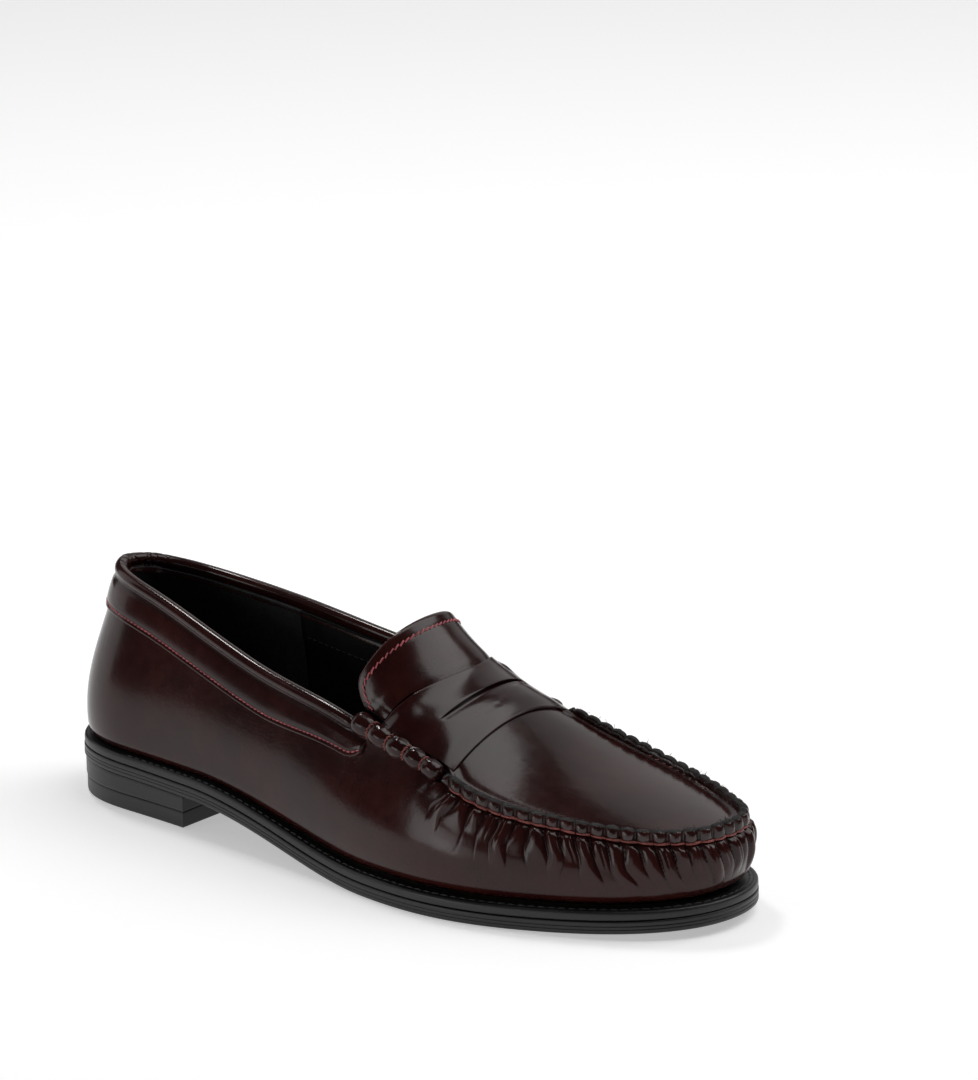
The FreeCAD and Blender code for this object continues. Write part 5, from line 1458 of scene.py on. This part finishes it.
def sole_body(name, rows, height, finish, count=330, last=None, caps=True, tread=None):
    """Layer of the sole: the profile rows (inset, height share) run round its edge."""
    u_lateral, u_medial = plan_pairs(count, last)
    inset, level = np.array(rows, float).T
    sides = []
    for u in (u_lateral, u_medial):
        x, y, out_x, out_y = edge_point(u[:, None], inset[None])
        if last is not None:
            near = smooth(last - 3.0, last, x)
            x = np.minimum(x, last - inset[None] + 0.5)
        sides.append(stack(x, y, height(x, level[None])))
    lateral, medial = sides
    total, columns = len(u_lateral), len(rows)
    points = np.concatenate([lateral.reshape(-1, 3), medial.reshape(-1, 3)])
    base = total * columns
    faces = [grid_faces(total, columns), grid_faces(total, columns, base)]
    first, second = np.arange(total) * columns, base + np.arange(total) * columns
    if caps:
        faces += [rim_faces(first, second), rim_faces(first + columns - 1, second + columns - 1)]
    else:
        faces += [rim_faces(first, first + columns - 1), rim_faces(second, second + columns - 1)]
    ends = [0, total - 1] if last is not None else [0, total - 1]
    for row in ends:
        a, b = row * columns + np.arange(columns), base + row * columns + np.arange(columns)
        faces.append(rim_faces(a, b))
    marks = None
    if tread is not None:
        flat = (points[:, 2] - height(points[:, 0], np.full(len(points), level.min())) < 0.02) & (np.tile(inset, 2 * total) > 2.0)
        marks = {"tread": flat * smooth(tread[0], tread[0] + 4.0, points[:, 0]) * (1.0 - smooth(tread[1] - 4.0, tread[1], points[:, 0]))}
    return new_piece(name, points, np.concatenate(faces), finish, marks, crease=38.0 if last is not None else None, weld=0.01)


def build_outsole():
    """Outsole with two fine moulded lines round its edge."""
    rows = (
        (7.0, 0.0), (4.0, 0.0), (2.0, 0.0), (0.9, 0.02), (0.42, 0.10), (0.14, 0.34), (0.02, 0.70), (0.0, 1.20),
        (0.0, 1.42), (0.04, 1.50), (0.20, 1.56), (0.20, 1.66), (0.04, 1.72), (0.0, 1.80), (0.0, 2.55), (0.04, 2.63),
        (0.20, 2.69), (0.20, 2.79), (0.04, 2.85), (0.0, 2.93), (0.0, 3.7), (0.03, 4.05), (0.16, 4.28), (0.42, 4.38),
        (1.0, 4.4), (6.0, 4.4),
    )
    piece = sole_body("outsole_rubber", rows, lambda x, h: underside(x) + h, ribbed_rubber(), tread=(150.0, 262.0))
    settle(piece, "root", "black_rubber", "outsole")


def build_welt():
    """Welt with a rounded lip, a faint groove on its ledge and its stitching."""
    low = OUTSOLE_THICK + GLUE
    rows = (
        (WELT_RING, low), (1.2, low), (0.65, low + 0.05), (0.32, low + 0.22), (0.18, low + 0.5), (0.15, low + 1.0),
        (0.15, low + 1.9), (0.22, low + 2.45), (0.42, low + 2.85), (0.75, low + 3.1), (1.15, low + 3.2),
        (1.5, low + 3.2), (1.75, low + 3.12), (1.95, low + 3.02), (2.15, low + 3.1), (2.5, low + 3.16),
        (4.5, low + 3.14), (7.5, low + 3.1), (WELT_RING, low + 3.05),
    )
    piece = sole_body("welt_rubber", rows, lambda x, h: underside(x) + h, rubber(), caps=False)
    settle(piece, "root", "black_rubber", "welt")
    u = np.linspace(0.085, 0.915, 900)
    x, y, _, _ = edge_point(u, ledge(u) * 0.5 + 0.35)
    points = stack(x, y, underside(x) + WELT_TOP - 0.12)
    row = stitches(
        "welt_stitches", points, stack(0.0, 0.0, 1.0 + 0.0 * u), black_thread(), sizes().welt_pitch,
        stitch_length=0.0028, thread=0.0006, arch=0.00045,
    )
    settle(row, "root", "black_thread", "welt_thread")


def build_heel():
    """Heel block with a joint line, over a rubber top lift with a rounded foot."""
    def block_height(x, share):
        low, high = LIFT_THICK + GLUE, underside(x) - GLUE
        return low + (high - low) * share

    rows = (
        (6.0, 0.0), (1.3, 0.0), (0.72, 0.02), (0.56, 0.08), (0.5, 0.16), (0.5, 0.84), (0.56, 0.92), (0.72, 0.98),
        (1.3, 1.0), (6.0, 1.0),
    )
    piece = sole_body("heel_block_rubber", rows, block_height, rubber(), 150, HEEL_LENGTH)
    settle(piece, "root", "black_rubber", "heel_block")
    rows = (
        (7.0, 0.0), (4.0, 0.0), (2.2, 0.0), (1.5, 0.06), (1.05, 0.28), (0.86, 0.62), (0.8, 1.1), (0.8, 5.2),
        (0.84, 5.55), (1.0, 5.78), (1.4, 5.88), (6.0, 5.9),
    )
    piece = sole_body("top_lift_rubber", rows, lambda x, h: 0.0 * x + h, ribbed_rubber(), 150, HEEL_LENGTH, tread=(6.0, 60.0))
    settle(piece, "root", "black_rubber", "top_lift")


def build_inner_parts():
    """Finishes of the parts inside the shoe, which keep their own solids."""
    finishes = {
        "cork_filler": finish_named("packed_cork", paint_cork),
        "insole_board": finish_named("pressed_board", paint_board),
        "heel_counter": finish_named("pressed_board", paint_board),
        "toe_puff": finish_named("pressed_board", paint_board),
        "heel_pad": finish_named("open_foam", paint_foam),
        "shank": finish_named("rolled_steel", paint_steel),
        "heel_nails": finish_named("rolled_steel", paint_steel),
        "apron_lining": lining_finish(),
    }
    for node, finish in finishes.items():
        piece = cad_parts[node]
        piece.data.materials.clear()
        piece.data.materials.append(finish)


# ---- stage ---------------------------------------------------------------------------------------
AZIMUTH, ELEVATION, DISTANCE = math.radians(38.21), math.radians(16.014), 1.7376
ROLL_TURN, LENS = math.radians(-0.382), 173.16


# Soft lights: direction round from the toe towards the medial side and above the floor in degrees,
# distance and size in m, brightness.
SOFTBOXES = (
    ("overhead_softbox", 50.0, 60.0, 2.0, (1.3, 2.0), 3.0),
    ("heel_side_strip", -114.0, 13.0, 2.2, (0.95, 0.85), 2.6),
    ("lateral_panel", -88.0, 4.0, 3.0, (2.6, 1.1), 0.9),
    ("heel_panel", -168.0, 22.0, 2.5, (1.3, 2.4), 0.9),
    ("back_panel", 110.0, 30.0, 3.2, (3.2, 2.2), 0.6),
    ("glint_lamp", 158.0, 63.0, 1.9, (0.26, 0.26), 36.0),
)


def softbox(name, azimuth, elevation, distance, size, radiance):
    """Area light turned towards the shoe; its power follows from its size and brightness."""
    light = bpy.data.lights.new(name, "AREA")
    light.shape, light.size, light.size_y = "RECTANGLE", size[0], size[1]
    light.energy = math.pi * size[0] * size[1] * radiance
    piece = bpy.data.objects.new(name, light)
    around, above = math.radians(azimuth), math.radians(elevation)
    away = Vector((math.cos(around) * math.cos(above), math.sin(around) * math.cos(above), math.sin(above)))
    piece.location = away * distance
    piece.rotation_mode = "QUATERNION"
    piece.rotation_quaternion = (-away).to_track_quat("-Z", "Y")
    bpy.context.scene.collection.objects.link(piece)


def build_floor():
    """Pale floor that runs on past the view."""
    mesh = bpy.data.meshes.new("stage_floor")
    side = np.linspace(-9.0, 9.0, 13)
    points = [(x, y, -0.0002) for x in side for y in side]
    mesh.from_pydata(points, [], grid_faces(13, 13).tolist())
    mesh.materials.append(finish_named("floor_paint", paint_floor))
    floor = bpy.data.objects.new("stage_floor", mesh)
    bpy.context.scene.collection.objects.link(floor)


def paint_floor(tree):
    """Even pale paint that glows a little, so that it stays pale far from the lights."""
    place = object_place(tree)
    cloud = tree.noise(place, 3.0, 2.0)
    base = tree.blend(cloud * 0.06, list(colours().floor), (0.72, 0.72, 0.73, 1.0))
    bump = tree.add("ShaderNodeBump", {}, {"Distance": 0.00005, "Height": tree.noise(place, 400.0, 2.0)})
    shader = tree.add("ShaderNodeBsdfPrincipled", {}, {
        "Base Color": base, "Roughness": 0.75, "Specular IOR Level": 0.1, "Normal": bump,
        "Emission Color": (1.0, 1.0, 1.0, 1.0), "Emission Strength": 0.42,
    })
    tree.add("ShaderNodeOutputMaterial", {}, {"Surface": shader})


def build_stage():
    """Floor, soft lights, room light and camera."""
    build_floor()
    world = bpy.data.worlds.new("room")
    bpy.context.scene.world = world
    world.use_nodes = True
    world.node_tree.nodes["Background"].inputs["Color"].default_value = (1.0, 1.0, 1.0, 1.0)
    world.node_tree.nodes["Background"].inputs["Strength"].default_value = 0.05
    back = Vector((math.sin(AZIMUTH) * math.cos(ELEVATION), -math.cos(AZIMUTH) * math.cos(ELEVATION), math.sin(ELEVATION)))
    right = Vector((math.cos(AZIMUTH), math.sin(AZIMUTH), 0.0))
    up = back.cross(right)
    right, up = right * math.cos(ROLL_TURN) + up * math.sin(ROLL_TURN), up * math.cos(ROLL_TURN) - right * math.sin(ROLL_TURN)
    target = Vector((0.0, -MIDDLE_Y / 1000.0, 0.030)) + right * 0.029787 + up * 0.074603
    camera = bpy.data.objects.new("camera", bpy.data.cameras.new("camera"))
    camera.data.lens, camera.data.sensor_width = LENS, 36.0
    camera.data.clip_start, camera.data.clip_end = 0.05, 60.0
    camera.location = target + back * DISTANCE
    camera.rotation_mode = "QUATERNION"
    camera.rotation_quaternion = Matrix((right, up, back)).transposed().to_quaternion()
    bpy.context.scene.collection.objects.link(camera)
    bpy.context.scene.camera = camera
    for name, azimuth, elevation, distance, size, radiance in SOFTBOXES:
        softbox(name, azimuth, elevation, distance, size, radiance)
    bpy.context.scene.view_settings.view_transform = "Standard"


# ---- operators, panel and run ---------------------------------------------------------------------
class LOAFER_OT_wall(bpy.types.Operator):
    """One-piece wall of the upper, folded under the seam."""

    bl_idname = "loafer.wall"
    bl_label = "Wall"

    def execute(self, context):
        build_wall()
        return {"FINISHED"}


class LOAFER_OT_apron(bpy.types.Operator):
    """Apron leather inside the seam."""

    bl_idname = "loafer.apron"
    bl_label = "Apron"

    def execute(self, context):
        build_apron()
        return {"FINISHED"}


class LOAFER_OT_seam(bpy.types.Operator):
    """Lumpy seam edge with its fibres and its threads."""

    bl_idname = "loafer.seam"
    bl_label = "Seam"

    def execute(self, context):
        build_ridge()
        build_seam_threads()
        return {"FINISHED"}


class LOAFER_OT_strap(bpy.types.Operator):
    """Saddle strap with its keeper slot."""

    bl_idname = "loafer.strap"
    bl_label = "Strap"

    def execute(self, context):
        build_strap()
        return {"FINISHED"}


class LOAFER_OT_tongue(bpy.types.Operator):
    """Tongue with its lining and edge stitching."""

    bl_idname = "loafer.tongue"
    bl_label = "Tongue"

    def execute(self, context):
        build_tongue()
        return {"FINISHED"}


class LOAFER_OT_beef_rolls(bpy.types.Operator):
    """Rolls beside the instep and the threads wrapped round them."""

    bl_idname = "loafer.beef_rolls"
    bl_label = "Beef Rolls"

    def execute(self, context):
        build_beef_rolls()
        return {"FINISHED"}


class LOAFER_OT_collar(bpy.types.Operator):
    """Padded topline, its band and the back tab."""

    bl_idname = "loafer.collar"
    bl_label = "Collar"

    def execute(self, context):
        build_collar()
        build_back_tab()
        return {"FINISHED"}


class LOAFER_OT_linings(bpy.types.Operator):
    """Heel grip, quarter and vamp linings, and the sock liner."""

    bl_idname = "loafer.linings"
    bl_label = "Linings"

    def execute(self, context):
        build_linings()
        return {"FINISHED"}


class LOAFER_OT_sole(bpy.types.Operator):
    """Outsole, welt and heel."""

    bl_idname = "loafer.sole"
    bl_label = "Sole"

    def execute(self, context):
        build_outsole()
        build_welt()
        build_heel()
        return {"FINISHED"}


class LOAFER_OT_inner_parts(bpy.types.Operator):
    """Finishes of the parts inside the shoe."""

    bl_idname = "loafer.inner_parts"
    bl_label = "Inner Parts"

    def execute(self, context):
        build_inner_parts()
        return {"FINISHED"}


class LOAFER_OT_stage(bpy.types.Operator):
    """Floor, lights, room light and camera."""

    bl_idname = "loafer.stage"
    bl_label = "Stage"

    def execute(self, context):
        build_stage()
        return {"FINISHED"}


STEPS = (
    LOAFER_OT_wall,
    LOAFER_OT_apron,
    LOAFER_OT_seam,
    LOAFER_OT_strap,
    LOAFER_OT_tongue,
    LOAFER_OT_beef_rolls,
    LOAFER_OT_collar,
    LOAFER_OT_linings,
    LOAFER_OT_sole,
    LOAFER_OT_inner_parts,
    LOAFER_OT_stage,
)


class LOAFER_PT_panel(bpy.types.Panel):
    """Buttons for the pieces, and the sizes and colours they are made from."""

    bl_idname = "LOAFER_PT_panel"
    bl_label = "Penny Loafer"
    bl_space_type = "VIEW_3D"
    bl_region_type = "UI"
    bl_category = "Loafer"

    def draw(self, context):
        for step in STEPS:
            self.layout.operator(step.bl_idname)
        for group in (context.scene.loafer_sizes, context.scene.loafer_colours):
            box = self.layout.box()
            for key in group.bl_rna.properties.keys():
                if key not in {"rna_type", "name"}:
                    box.prop(group, key)


CLASSES = (LoaferSizes, LoaferColours, *STEPS, LOAFER_PT_panel)


def register():
    for item in CLASSES:
        bpy.utils.register_class(item)
    bpy.types.Scene.loafer_sizes = bpy.props.PointerProperty(type=LoaferSizes)
    bpy.types.Scene.loafer_colours = bpy.props.PointerProperty(type=LoaferColours)


def unregister():
    del bpy.types.Scene.loafer_colours
    del bpy.types.Scene.loafer_sizes
    for item in reversed(CLASSES):
        bpy.utils.unregister_class(item)


def main():
    register()
    for step in STEPS:
        getattr(bpy.ops.loafer, step.bl_idname.split(".")[1])()


if __name__ == "__main__":
    main()
